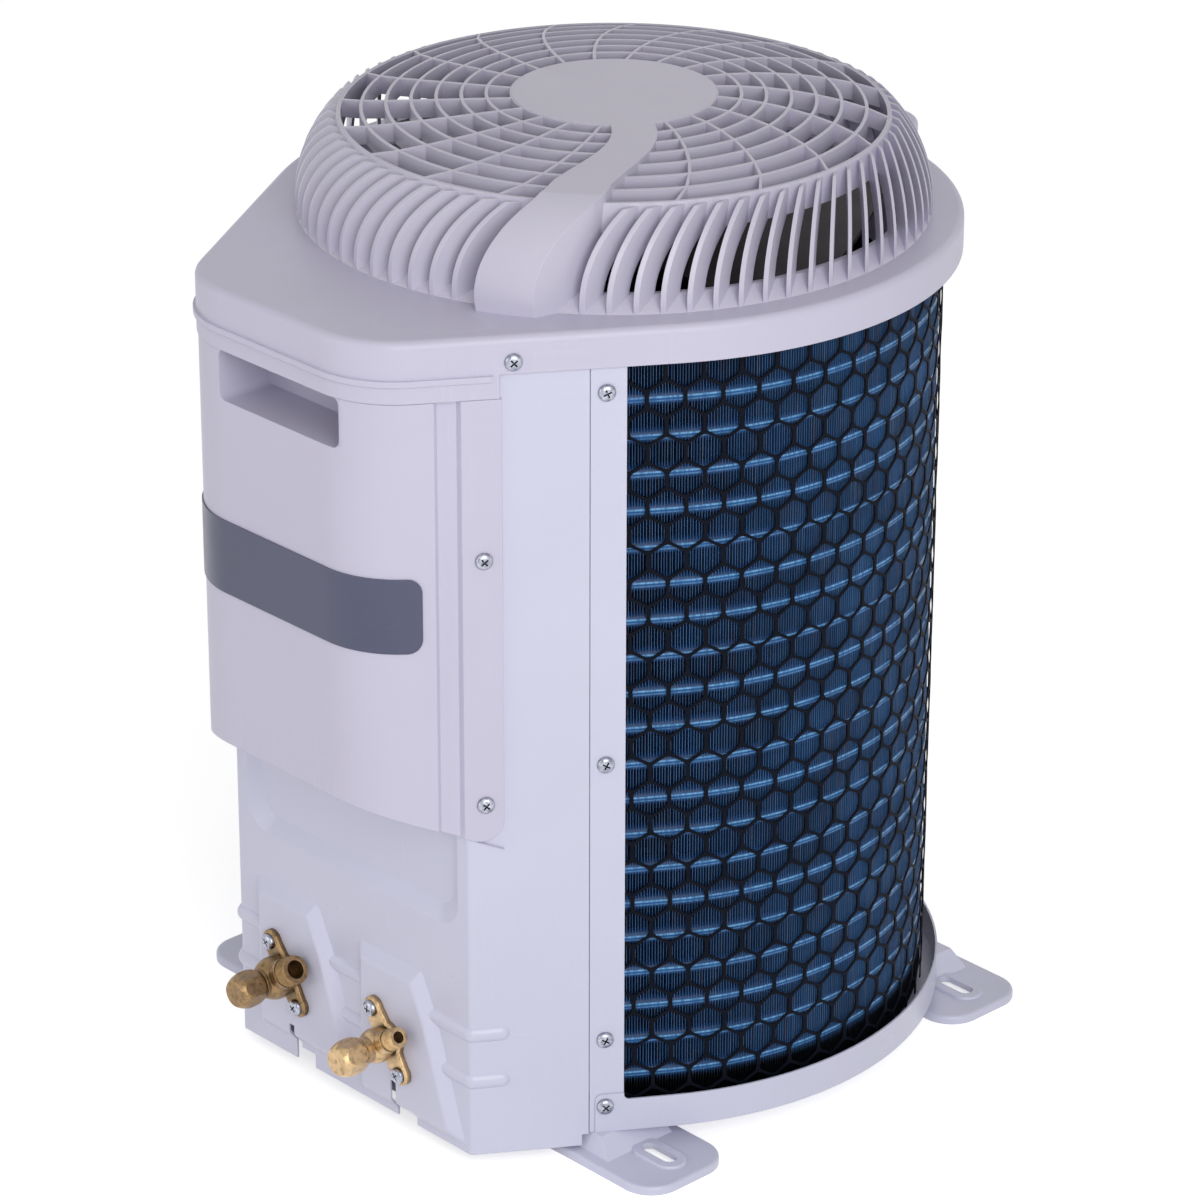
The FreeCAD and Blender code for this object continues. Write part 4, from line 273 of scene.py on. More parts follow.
class SharedEffects:
    """Node groups that several finishes use, each made on its first use."""

    @staticmethod
    def _group(
        name: str, inputs: dict[str, float | Colour], outputs: dict[str, str]
    ) -> tuple[NodeSheet, Sockets]:
        """Start a node group.

        Args:
            name: the group's name.
            inputs: first value of each input, a number or a colour.
            outputs: socket type of each output.

        Returns:
            The sheet of the group and the sockets of what it is given.
        """
        tree = bpy.data.node_groups.new(name, "ShaderNodeTree")
        for label, value in inputs.items():
            kind = FLOAT if isinstance(value, float) else COLOUR
            tree.interface.new_socket(label, in_out="INPUT", socket_type=kind).default_value = value
        for label, kind in outputs.items():
            tree.interface.new_socket(label, in_out="OUTPUT", socket_type=kind)
        sheet = NodeSheet(tree)
        return sheet, sheet.add("NodeGroupInput").outputs

    @cached_property
    def grain(self) -> Tree:
        """Fine moulded or sprayed texture over a slow wave of the surface."""
        outputs = {"Height": FLOAT, "Speckle": FLOAT, "Wave": FLOAT}
        sheet, given = self._group("surface_grain", {"Scale": 1800.0, "Wave": 60.0}, outputs)
        where = sheet.place()
        fine = sheet.noise(where, given["Scale"], 3.0)
        slow = sheet.noise(where, given["Wave"], 1.0)
        wave_height = 1.4
        height = sheet.sum("MULTIPLY_ADD", slow, wave_height, fine)
        sheet.add("NodeGroupOutput", {"Height": height, "Speckle": fine, "Wave": slow})
        return sheet.tree

    @cached_property
    def mottle(self) -> Tree:
        """A colour that drifts a little towards another over the surface."""
        inputs = {"Color": WHITE, "Tint": WHITE, "Scale": 9.0, "Amount": 0.5}
        sheet, given = self._group("colour_drift", inputs, {"Color": COLOUR, "Value": FLOAT})
        level = sheet.spread(sheet.noise(sheet.place(), given["Scale"], 4.0), 0.32, 0.68)
        colour = sheet.blend(sheet.product(level, given["Amount"]), given["Color"], given["Tint"])
        sheet.add("NodeGroupOutput", {"Color": colour, "Value": level})
        return sheet.tree

    @cached_property
    def soft_edge(self) -> Tree:
        """Rounds the light over sharp edges and says where those edges are."""
        outputs = {"Normal": VECTOR, "Edge": FLOAT}
        sheet, given = self._group("soft_edge", {"Radius": 0.6 * MM}, outputs)
        rounded = sheet.add("ShaderNodeBevel", {"Radius": given["Radius"]}, samples=4).outputs[0]
        turn = sheet.add("ShaderNodeVectorMath", {0: rounded, 1: sheet.face()}, operation="DOT_PRODUCT")
        flat, sharp = 0.995, 0.86
        edge = sheet.spread(turn.outputs["Value"], flat, sharp)
        sheet.add("NodeGroupOutput", {"Normal": rounded, "Edge": edge})
        return sheet.tree

    @cached_property
    def dust(self) -> Tree:
        """Mask of light dust that settles on what faces up."""
        sheet, given = self._group("settled_dust", {"Amount": 0.3}, {"Mask": FLOAT})
        level = sheet.spread(sheet.upward(sheet.face()), 0.35, 1.0)
        patch = sheet.spread(sheet.noise(sheet.place(), 55.0, 6.0), 0.42, 0.72)
        mask = sheet.product(sheet.sum("MULTIPLY", level, patch), given["Amount"])
        sheet.add("NodeGroupOutput", {"Mask": mask})
        return sheet.tree

    @cached_property
    def hollows(self) -> Tree:
        """Mask of the hollows, for dirt and for painted shade where little light falls."""
        sheet, given = self._group("dirt_and_shade_hollows", {"Reach": 5.0 * MM}, {"Mask": FLOAT})
        open_air = sheet.add("ShaderNodeAmbientOcclusion", {"Distance": given["Reach"]}, samples=6)
        mask = sheet.spread(open_air.outputs["AO"], 0.35, 0.85, 1.0, 0.0)
        sheet.add("NodeGroupOutput", {"Mask": mask})
        return sheet.tree

    @cached_property
    def scuffs(self) -> Tree:
        """Mask of thin handling marks, upright ones and level ones."""
        sheet, given = self._group("handling_marks", {"Amount": 0.2}, {"Mask": FLOAT})
        crest, width = 0.62, 0.012
        lines = []
        for scale in ((260.0, 260.0, 9.0), (14.0, 14.0, 420.0)):
            grain = sheet.noise(sheet.place(scale), 1.0, 0.0)
            lines.append(sheet.spread(sheet.apart(grain, crest), 0.0, width, 1.0, 0.0))
        marks = sheet.sum("MAXIMUM", *lines)
        patch = sheet.spread(sheet.noise(sheet.place(), 7.0, 2.0), 0.48, 0.62)
        mask = sheet.product(sheet.sum("MULTIPLY", marks, patch), given["Amount"])
        sheet.add("NodeGroupOutput", {"Mask": mask})
        return sheet.tree


# Finishes

WORN_ROUGHNESS = 0.3


@dataclass(frozen=True)
class Finish:
    """A surface finish: colour and its drift, grain, gloss, a painted highlight and wear on its edges, dust
    and marks.
    """

    name: str
    colour: Colour
    tint: Colour
    drift_scale: float = 9.0
    drift: float = 0.5
    roughness: float = 0.4
    roughness_drift: float = 0.08
    metallic: float = 0.0
    specular: float = 0.5
    grain_scale: float = 1800.0
    grain_wave: float = 60.0
    grain_depth: float = 0.03 * MM
    edge_radius: float = 0.6 * MM
    # Lighter colour along sharp edges: a painted highlight, and edge wear.
    edge_highlight_and_wear_colour: Colour | None = None
    edge_highlight_and_wear_share: float = 0.35
    dust: float = 0.08
    dust_colour: Colour = srgb(214, 208, 200)
    scuffs: float = 0.1
    scuff_colour: Colour = srgb(235, 235, 240)

    def surface_colour(self, sheet: NodeSheet, shared: SharedEffects) -> Socket:
        """Colour before the painted edge highlight and wear, dust and marks.

        Args:
            sheet: the material's nodes.
            shared: the shared effects.

        Returns:
            The colour's socket.
        """
        colours = {"Color": self.colour, "Tint": self.tint}
        return sheet.effect(shared.mottle, Scale=self.drift_scale, Amount=self.drift, **colours)["Color"]

    def surface_height(self, sheet: NodeSheet, grain: Sockets) -> Socket:
        """Height of the texture that the light catches, from the grain's outputs."""
        return grain["Height"]

    def make(self, shared: SharedEffects) -> bpy.types.Material:
        """Build the material.

        Args:
            shared: the shared effects.

        Returns:
            The finished material.
        """
        material = bpy.data.materials.new(self.name)
        sheet = blank_sheet(material)
        grain = sheet.effect(shared.grain, Scale=self.grain_scale, Wave=self.grain_wave)
        edge = sheet.effect(shared.soft_edge, Radius=self.edge_radius)
        dust = sheet.effect(shared.dust, Amount=self.dust)["Mask"]
        marks = sheet.effect(shared.scuffs, Amount=self.scuffs)["Mask"]

        colour = self.surface_colour(sheet, shared)
        # Painted highlight along sharp edges: a lighter edge colour that also stands for edge wear.
        if self.edge_highlight_and_wear_colour is not None:
            share = sheet.sum("MULTIPLY", edge["Edge"], self.edge_highlight_and_wear_share)
            colour = sheet.blend(share, colour, self.edge_highlight_and_wear_colour)
        colour = sheet.blend(marks, colour, self.scuff_colour)
        colour = sheet.blend(dust, colour, self.dust_colour)

        smooth = self.roughness - self.roughness_drift
        rough = self.roughness + self.roughness_drift
        gloss = sheet.spread(grain["Wave"], 0.1, 0.9, smooth, rough)
        worn = sheet.sum("MULTIPLY", sheet.sum("ADD", marks, dust), WORN_ROUGHNESS)
        gloss = sheet.sum("ADD", gloss, worn, clamp=True)

        bump = sheet.add(
            "ShaderNodeBump",
            {
                "Strength": 1.0,
                "Distance": self.grain_depth,
                "Height": self.surface_height(sheet, grain),
                "Normal": edge["Normal"],
            },
        )
        shader = sheet.add(
            "ShaderNodeBsdfPrincipled",
            {
                "Base Color": colour,
                "Metallic": self.metallic,
                "Roughness": gloss,
                "Specular IOR Level": self.specular,
                "Normal": bump.outputs["Normal"],
            },
        )
        sheet.add("ShaderNodeOutputMaterial", {"Surface": shader.outputs["BSDF"]})
        return material


@dataclass(frozen=True)
class FinFinish(Finish):
    """Blue lacquered aluminium fins, with thin upright streaks where fins are bent or worn."""

    streak_colour: Colour = srgb(128, 140, 162)
    rust_colour: Colour = srgb(100, 72, 64)
    # Colour that the fins turn to towards the foot of the coil.
    foot_dark_colour: Colour = srgb(12, 15, 23)
    foot_dark_top: float = 42.5 * MM
    foot_dark_full: float = 38.0 * MM
    streak_share: float = 0.55
    rust_share: float = 0.6

    def surface_colour(self, sheet: NodeSheet, shared: SharedEffects) -> Socket:
        """Blue lacquer with pale and brown streaks from top to bottom, darker towards the foot of the coil.

        Args:
            sheet: the material's nodes.
            shared: the shared effects.

        Returns:
            The colour's socket.
        """
        colour = super().surface_colour(sheet, shared)
        pale = sheet.noise(sheet.place((700.0, 700.0, 14.0)), 1.0, 3.0)
        share = sheet.spread(pale, 0.52, 0.78, 0.0, self.streak_share)
        colour = sheet.blend(share, colour, self.streak_colour)
        brown = sheet.noise(sheet.place((410.0, 430.0, 20.0)), 1.3, 2.0)
        share = sheet.spread(brown, 0.58, 0.74, 0.0, self.rust_share)
        colour = sheet.blend(share, colour, self.rust_colour)
        # Darker towards the foot of the coil, fully dark below the lower level.
        foot_darkening = sheet.spread(sheet.upward(sheet.place()), self.foot_dark_full, self.foot_dark_top, 1.0, 0.0)
        return sheet.blend(foot_darkening, colour, self.foot_dark_colour)


@dataclass(frozen=True)
class TubeFinish(Finish):
    """Blue lacquered tube with two painted highlight lines along its crest and painted shade on its flanks.
    """

    # Painted highlight colour and painted shade colour, chosen by which way the tube surface faces.
    painted_highlight_colour: Colour = srgb(128, 186, 232)
    painted_flank_shade_colour: Colour = srgb(24, 56, 98)
    highlight_level: float = 0.2
    highlight_width: float = 0.15
    lower_highlight_strength: float = 0.5

    def surface_colour(self, sheet: NodeSheet, shared: SharedEffects) -> Socket:
        """Lacquer with painted highlights, which the fin collars break into short bright dashes, and painted
        shade on the flanks.

        Args:
            sheet: the material's nodes.
            shared: the shared effects.

        Returns:
            The colour's socket.
        """
        up = sheet.upward(sheet.face())
        # Painted shade on the flanks that face up or down.
        flank_shade = sheet.spread(sheet.sum("ABSOLUTE", up), 0.2, 0.42)
        colour = sheet.blend(flank_shade, super().surface_colour(sheet, shared), self.painted_flank_shade_colour)
        dashes = sheet.noise(sheet.place((620.0, 620.0, 90.0)), 1.0, 2.0)
        highlight_breaks = sheet.spread(dashes, 0.38, 0.6, 0.35, 1.0)
        # Two painted highlight lines, the lower one weaker, broken into dashes by the fin collars.
        for level, strength in ((self.highlight_level, 1.0), (-self.highlight_level, self.lower_highlight_strength)):
            highlight_line = sheet.spread(sheet.apart(up, level), 0.0, self.highlight_width, strength, 0.0)
            colour = sheet.blend(sheet.sum("MULTIPLY", highlight_line, highlight_breaks), colour, self.painted_highlight_colour)
        return colour


@dataclass(frozen=True)
class CastBrassFinish(Finish):
    """Forged brass: sandy skin, brown patina and painted shade in the hollows, a painted highlight and rubbed
    wear on its edges.
    """

    drift_scale: float = 160.0
    roughness_drift: float = 0.12
    metallic: float = 0.9
    grain_scale: float = 1500.0
    grain_wave: float = 260.0
    edge_highlight_and_wear_share: float = 0.6
    # Colour of the brown patina and the painted shade in the hollows.
    hollow_dirt_and_shade_colour: Colour = srgb(44, 34, 26)
    hollow_reach: float = 5.0 * MM
    spot_share: float = 0.5

    def surface_colour(self, sheet: NodeSheet, shared: SharedEffects) -> Socket:
        """Brass with brown patina and painted shade in its hollows, and brown spots.

        Args:
            sheet: the material's nodes.
            shared: the shared effects.

        Returns:
            The colour's socket.
        """
        # Painted shade and brown patina in the hollows and bores, found by ambient occlusion.
        hollow_dirt_and_shade = sheet.effect(shared.hollows, Reach=self.hollow_reach)["Mask"]
        spotted = sheet.spread(sheet.noise(sheet.place(), 420.0, 5.0), 0.5, 0.7, 0.0, self.spot_share)
        share = sheet.sum("MAXIMUM", hollow_dirt_and_shade, spotted)
        return sheet.blend(share, super().surface_colour(sheet, shared), self.hollow_dirt_and_shade_colour)


@dataclass(frozen=True)
class SpangleFinish(Finish):
    """Zinc-dipped sheet with its flower-like crystals."""

    crystal_scale: float = 90.0
    crystal_share: float = 0.35

    def surface_colour(self, sheet: NodeSheet, shared: SharedEffects) -> Socket:
        """Crystals in slightly different greys.

        Args:
            sheet: the material's nodes.
            shared: the shared effects.

        Returns:
            The colour's socket.
        """
        cells = sheet.add("ShaderNodeTexVoronoi", {"Vector": sheet.place(), "Scale": self.crystal_scale})
        level = sheet.add("ShaderNodeSeparateColor", {0: cells.outputs["Color"]}).outputs[0]
        share = sheet.sum("MULTIPLY", level, self.crystal_share)
        return sheet.blend(share, super().surface_colour(sheet, shared), self.tint)


@dataclass(frozen=True)
class BrushedFinish(Finish):
    """Plated or turned metal with fine lines round its length."""

    metallic: float = 1.0
    line_scale: Spot = (900.0, 900.0, 900.0)

    def surface_height(self, sheet: NodeSheet, grain: Sockets) -> Socket:
        """Fine tool lines over the grain."""
        return sheet.sum("ADD", sheet.noise(sheet.place(self.line_scale), 1.0, 2.0), grain["Speckle"])


@dataclass(frozen=True)
class ScrewFinish(BrushedFinish):
    """Zinc-plated screw heads, with painted shade in the recess and under the brim."""

    # Colour of the painted shade in the cross recess and under the brim.
    hollow_dirt_and_shade_colour: Colour = srgb(24, 25, 31)
    hollow_reach: float = 1.5 * MM

    def surface_colour(self, sheet: NodeSheet, shared: SharedEffects) -> Socket:
        """Plating with painted shade in its hollows."""
        # Painted shade in the cross recess and under the brim, found by ambient occlusion.
        hollow_dirt_and_shade = sheet.effect(shared.hollows, Reach=self.hollow_reach)["Mask"]
        return sheet.blend(hollow_dirt_and_shade, super().surface_colour(sheet, shared), self.hollow_dirt_and_shade_colour)


class Finishes:
    """Every finish of the unit, made once."""

    def __init__(self, shared: SharedEffects) -> None:
        """Keep the shared effects that the materials are made with."""
        self.shared = shared
        self.made: dict[str, bpy.types.Material] = {}

    def get(self, finish: Finish) -> bpy.types.Material:
        """Give the material of a finish, made on its first use."""
        if finish.name not in self.made:
            self.made[finish.name] = finish.make(self.shared)
        return self.made[finish.name]


GREY_PLASTIC = Finish(
    "grey_moulded_plastic",
    colour=srgb(203, 199, 219),
    tint=srgb(197, 193, 212),
    roughness=0.42,
    roughness_drift=0.05,
    grain_scale=2600.0,
    grain_wave=28.0,
    grain_depth=0.035 * MM,
    edge_radius=0.8 * MM,
    edge_highlight_and_wear_colour=srgb(226, 223, 238),
    edge_highlight_and_wear_share=0.5,
    dust=0.06,
    scuffs=0.12,
)
GUARD_PLASTIC = replace(
    GREY_PLASTIC,
    name="grey_guard_plastic",
    colour=srgb(201, 197, 214),
    tint=srgb(194, 190, 208),
    roughness=0.34,
    grain_wave=40.0,
    grain_depth=0.02 * MM,
    edge_radius=0.5 * MM,
    edge_highlight_and_wear_colour=srgb(232, 230, 242),
    edge_highlight_and_wear_share=0.55,
    dust=0.12,
    scuffs=0.08,
)
POWDER_COAT = replace(
    GREY_PLASTIC,
    name="powder_coated_steel",
    colour=srgb(209, 209, 229),
    tint=srgb(203, 203, 223),
    roughness=0.3,
    roughness_drift=0.04,
    grain_wave=24.0,
    grain_depth=0.015 * MM,
    edge_radius=0.5 * MM,
    edge_highlight_and_wear_colour=srgb(228, 228, 242),
    edge_highlight_and_wear_share=0.4,
    dust=0.05,
    scuffs=0.08,
)
BARE_PLATE = Finish(
    "slate_plate",
    colour=srgb(79, 82, 110),
    tint=srgb(72, 75, 100),
    drift_scale=6.0,
    drift=0.8,
    roughness=0.3,
    grain_scale=1500.0,
    grain_depth=0.01 * MM,
    edge_radius=0.4 * MM,
    edge_highlight_and_wear_colour=srgb(128, 130, 152),
    edge_highlight_and_wear_share=0.5,
    dust=0.05,
    scuffs=0.12,
    scuff_colour=srgb(140, 142, 160),
)
FAN_PLASTIC = Finish(
    "dark_fan_plastic",
    colour=srgb(58, 50, 54),
    tint=srgb(46, 41, 46),
    roughness=0.4,
    grain_scale=1200.0,
    grain_depth=0.04 * MM,
    edge_highlight_and_wear_colour=srgb(96, 88, 92),
    dust=0.12,
    dust_colour=srgb(120, 112, 108),
    scuffs=0.1,
    scuff_colour=srgb(110, 106, 108),
)
BLOCK_PLASTIC = Finish(
    "black_block_plastic",
    colour=srgb(34, 34, 37),
    tint=srgb(44, 44, 48),
    roughness=0.5,
    grain_scale=2200.0,
    edge_highlight_and_wear_colour=srgb(70, 70, 74),
    scuff_colour=srgb(90, 90, 92),
)
MOTOR_PAINT = Finish(
    "black_motor_paint",
    colour=srgb(38, 38, 42),
    tint=srgb(50, 49, 52),
    roughness=0.36,
    grain_scale=700.0,
    grain_depth=0.08 * MM,
    edge_highlight_and_wear_colour=srgb(82, 82, 86),
    dust=0.2,
    scuff_colour=srgb(110, 110, 112),
)
COMPRESSOR_PAINT = Finish(
    "black_shell_paint",
    colour=srgb(22, 22, 25),
    tint=srgb(33, 32, 35),
    roughness=0.24,
    grain_scale=420.0,
    grain_depth=0.06 * MM,
    edge_highlight_and_wear_colour=srgb(58, 58, 62),
    dust=0.25,
    scuff_colour=srgb(88, 86, 84),
)
RUBBER = Finish(
    "mount_rubber",
    colour=srgb(26, 26, 27),
    tint=srgb(38, 37, 37),
    roughness=0.72,
    grain_scale=1500.0,
    grain_depth=0.08 * MM,
    dust=0.3,
    scuff_colour=srgb(70, 68, 66),
)
NET_PLASTIC = Finish(
    "black_net_plastic",
    colour=srgb(15, 18, 28),
    tint=srgb(22, 24, 34),
    drift_scale=120.0,
    drift=0.7,
    roughness=0.6,
    specular=0.05,
    grain_scale=2400.0,
    grain_depth=0.05 * MM,
    edge_radius=0.2 * MM,
    dust=0.0,
    scuffs=0.02,
    scuff_colour=srgb(40, 42, 52),
)
COPPER = Finish(
    "drawn_copper",
    colour=srgb(196, 122, 88),
    tint=srgb(140, 84, 62),
    drift_scale=45.0,
    drift=0.8,
    roughness=0.28,
    metallic=1.0,
    grain_scale=900.0,
    grain_depth=0.03 * MM,
    dust=0.1,
    scuff_colour=srgb(222, 160, 128),
)
BRIGHT_STEEL = BrushedFinish(
    "ground_shaft_steel",
    colour=srgb(196, 196, 200),
    tint=srgb(168, 168, 174),
    roughness=0.22,
    grain_depth=0.01 * MM,
    line_scale=(300.0, 300.0, 5200.0),
)
ZINC_PLATE = BrushedFinish(
    "zinc_plated_steel",
    colour=srgb(206, 208, 216),
    tint=srgb(160, 164, 178),
    drift_scale=260.0,
    drift=0.7,
    roughness=0.24,
    grain_scale=1600.0,
    edge_radius=0.25 * MM,
    edge_highlight_and_wear_colour=srgb(236, 236, 242),
    scuff_colour=srgb(130, 130, 138),
)
SCREW_ZINC = ScrewFinish(
    "screw_zinc",
    colour=srgb(190, 192, 204),
    tint=srgb(122, 126, 142),
    drift_scale=420.0,
    drift=0.9,
    roughness=0.26,
    roughness_drift=0.1,
    grain_scale=1600.0,
    edge_radius=0.25 * MM,
    edge_highlight_and_wear_colour=srgb(232, 233, 240),
    edge_highlight_and_wear_share=0.5,
    dust=0.0,
    scuff_colour=srgb(90, 90, 100),
)
GALVANISED = SpangleFinish(
    "galvanised_sheet",
    colour=srgb(186, 190, 196),
    tint=srgb(150, 155, 162),
    roughness=0.38,
    metallic=0.9,
    grain_scale=500.0,
    grain_depth=0.02 * MM,
    scuff_colour=srgb(215, 216, 220),
)
CAN_METAL = replace(
    BRIGHT_STEEL,
    name="capacitor_can",
    colour=srgb(206, 206, 210),
    tint=srgb(182, 182, 188),
    roughness=0.3,
    grain_depth=0.02 * MM,
    line_scale=(200.0, 200.0, 3600.0),
)
GAS_BRASS = CastBrassFinish(
    "dark_cast_brass",
    colour=srgb(160, 131, 94),
    tint=srgb(122, 98, 67),
    drift=0.85,
    roughness=0.36,
    grain_depth=0.16 * MM,
    edge_highlight_and_wear_colour=srgb(206, 170, 118),
    scuff_colour=srgb(216, 184, 130),
)
LIQUID_BRASS = CastBrassFinish(
    "light_cast_brass",
    colour=srgb(214, 184, 142),
    tint=srgb(182, 152, 112),
    drift=0.8,
    roughness=0.34,
    grain_depth=0.14 * MM,
    edge_highlight_and_wear_colour=srgb(228, 194, 136),
    # Patina and painted shade in the hollows and bores.
    hollow_dirt_and_shade_colour=srgb(64, 50, 36),
    scuff_colour=srgb(232, 204, 150),
)
FIN_LACQUER = FinFinish(
    "blue_fin_lacquer",
    colour=srgb(60, 106, 158),
    tint=srgb(40, 70, 108),
    drift_scale=30.0,
    drift=0.8,
    roughness=0.4,
    metallic=0.35,
    grain_scale=900.0,
    grain_depth=0.03 * MM,
    edge_radius=0.1 * MM,
    dust=0.0,
    scuffs=0.0,
)
TUBE_LACQUER = TubeFinish(
    "blue_tube_lacquer",
    colour=srgb(34, 86, 144),
    tint=srgb(26, 66, 114),
    drift_scale=60.0,
    drift=0.7,
    roughness=0.3,
    specular=0.15,
    grain_scale=1400.0,
    grain_depth=0.03 * MM,
    dust=0.0,
    scuffs=0.0,
)
CORE_SHADE = Finish(
    "coil_core",
    colour=srgb(16, 24, 40),
    tint=srgb(24, 38, 62),
    drift_scale=70.0,
    roughness=0.6,
    grain_scale=700.0,
    grain_depth=0.1 * MM,
    dust=0.0,
    scuffs=0.0,
)


# Mesh helpers

SHARP_ANGLE = math.radians(38.0)
MERGE_REACH = 1e-7
ORIGIN = (0, 0, 0)
UP = (0, 0, 1)


def to_mesh(name: str, form: Form) -> Mesh:
    """Write a finished bmesh into a new mesh.

    Args:
        name: the mesh's name.
        form: the shape; it is freed.

    Returns:
        The new mesh.
    """
    mesh = bpy.data.meshes.new(name)
    form.to_mesh(mesh)
    form.free()
    return mesh


def new_piece(name: str, form: Form, material: bpy.types.Material, smooth: bool = True) -> Piece:
    """Turn a finished bmesh into an object of the scene.

    Args:
        name: the piece's name.
        form: the shape, in the frame's own coordinates; it is freed.
        material: the piece's finish.
        smooth: whether its faces shade smoothly, up to a sharp angle.

    Returns:
        The new object.
    """
    mesh = to_mesh(name, form)
    mesh.materials.append(material)
    if smooth:
        mesh.shade_smooth()
        mesh.set_sharp_from_angle(angle=SHARP_ANGLE)
    piece = bpy.data.objects.new(name, mesh)
    bpy.context.scene.collection.objects.link(piece)
    return piece


def add_copy(form: Form, mesh: Mesh, place: Matrix) -> None:
    """Add a copy of a mesh to a shape.

    Args:
        form: the shape that grows.
        mesh: what is copied.
        place: where the copy goes.
    """
    first = len(form.verts)
    form.from_mesh(mesh)
    form.verts.ensure_lookup_table()
    bmesh.ops.transform(form, matrix=place, verts=form.verts[first:])


def add_block(form: Form, place: Matrix, size: Spot) -> list[bmesh.types.BMVert]:
    """Add a straight block to a shape.

    Args:
        form: the shape that grows.
        place: where the block's middle goes.
        size: the block's three edges.

    Returns:
        The block's corners.
    """
    return bmesh.ops.create_cube(form, size=1.0, matrix=place @ Matrix.Diagonal((*size, 1.0)))["verts"]


def slice_form(form: Form, spot: Spot, outward: Spot, clear: bool = False) -> None:
    """Cut a shape across with a plane.

    Args:
        form: the shape.
        spot: a point of the plane.
        outward: the plane's direction.
        clear: whether what lies outward is taken away.
    """
    everything = form.verts[:] + form.edges[:] + form.faces[:]
    bmesh.ops.bisect_plane(form, geom=everything, plane_co=spot, plane_no=outward, clear_outer=clear)


def cut_away(body: Mesh, cutter: Mesh) -> Mesh:
    """Cut one closed shape out of another.

    Args:
        body: the shape that stays.
        cutter: the shape that goes.

    Returns:
        A new mesh of what is left.
    """
    kept = bpy.data.objects.new("cut_body", body)
    tool = bpy.data.objects.new("cut_tool", cutter)
    for item in (kept, tool):
        bpy.context.scene.collection.objects.link(item)
    cut = kept.modifiers.new("cut", "BOOLEAN")
    cut.operation = "DIFFERENCE"
    cut.object = tool
    cut.solver = "EXACT"
    cut.use_self = True
    bpy.context.view_layer.update()
    shown = kept.evaluated_get(bpy.context.evaluated_depsgraph_get())
    left = bpy.data.meshes.new_from_object(shown)
    for item in (kept, tool):
        bpy.data.objects.remove(item)
    return left


def upright(outward: Vector) -> Matrix:
    """Turn that carries +Z onto a direction."""
    return outward.to_track_quat("Z", "Y").to_matrix().to_4x4()


def turned_profile(points: list[tuple[float, float]], steps: int) -> Form:
    """Spin a half outline into a closed round body.

    Args:
        points: radius and height of each corner, from the axis to the axis.
        steps: faces round the body.

    Returns:
        The body about the Z axis.
    """
    form = bmesh.new()
    outline = [form.verts.new((radius, 0.0, height)) for radius, height in points]
    for first, second in zip(outline, outline[1:]):
        form.edges.new((first, second))
    turned = form.verts[:] + form.edges[:]
    bmesh.ops.spin(form, geom=turned, axis=UP, cent=ORIGIN, angle=math.tau, steps=steps, use_merge=True)
    bmesh.ops.remove_doubles(form, verts=form.verts, dist=MERGE_REACH)
    bmesh.ops.recalc_face_normals(form, faces=form.faces)
    return form


def hexagon(half: float, edge: float, tip: float) -> list[Vector]:
    """Corners of a hexagon that stands on a tip.

    Args:
        half: half its width.
        edge: half the length of its upright sides.
        tip: distance of its tips from the middle.

    Returns:
        The six corners, from the top round to the right.
    """
    corner_spots = ((0, tip), (half, edge), (half, -edge), (0, -tip), (-half, -edge), (-half, edge))
    return [Vector(spot) for spot in corner_spots]


@dataclass(frozen=True)
class BarrelPlan:
    """Plan of the barrel: a round back between two flat side faces that run to the nose."""

    axis_y: float
    side_turn: float = math.radians(57.2)

    @property
    def start(self) -> float:
        """Angle at which the round back begins, on the right."""
        return self.side_turn - math.pi / 2

    @property
    def sweep(self) -> float:
        """Angle that the round back covers."""
        return math.tau - 2 * self.side_turn

    def arc_length(self, radius: float) -> float:
        """Length of the round back at a radius."""
        return radius * self.sweep

    def station(self, along: float, radius: float) -> Matrix:
        """Frame at a length along the wrapped path.

        Args:
            along: length from the right-hand start of the round back.
            radius: radius at which that length is measured.

        Returns:
            A frame with X outward and Y along the path; its origin is on the barrel axis.
        """
        arc = self.arc_length(radius)
        turned = min(max(along, 0.0), arc)
        straight = along - turned
        spin = Matrix.Rotation(self.start + turned / radius, 4, "Z")
        return Matrix.Translation((0, self.axis_y, 0)) @ spin @ Matrix.Translation((0, straight, 0))

    def wrap(self, form: Form, radius: float) -> None:
        """Bend a flat shape round the barrel.

        Args:
            form: shape with X as radius, Y as length along the path and Z up.
            radius: radius at which the length is true.
        """
        for corner in form.verts:
            spot = corner.co.copy()
            corner.co = self.station(spot.y, radius) @ Vector((spot.x, 0.0, spot.z))

    def side_normal(self, side: Side) -> Vector:
        """Outward direction of a side face."""
        return Vector((side.value * math.sin(self.side_turn), -math.cos(self.side_turn), 0.0))

    def side_point(self, side: Side, along: float, depth: float, height: float) -> Vector:
        """Point on a side face.

        Args:
            side: which face.
            along: length from where the round back begins, negative towards the nose.
            depth: distance of the face from the barrel axis.
            height: level above the floor.

        Returns:
            The point in the frame.
        """
        way = Vector((side.value * math.cos(self.side_turn), math.sin(self.side_turn), 0.0))
        foot = self.side_normal(side) * depth + way * along
        return Vector((foot.x, foot.y + self.axis_y, height))


# Sub-assemblies


@dataclass
class CadGroup:
    """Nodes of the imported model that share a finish."""

    finish: Finish
    nodes: tuple[str, ...]

    def dress(self, frame: dict, finishes: Finishes) -> None:
        """Give the nodes their material.

        Args:
            frame: the loaded model.
            finishes: the unit's finishes.
        """
        material = finishes.get(self.finish)
        for name in self.nodes:
            node = frame["nodes"][name]
            if not node.material_slots:
                node.data.materials.append(material)
            for place in node.material_slots:
                place.material = material
            LOG.info("dressed %s in %s", name, self.finish.name)


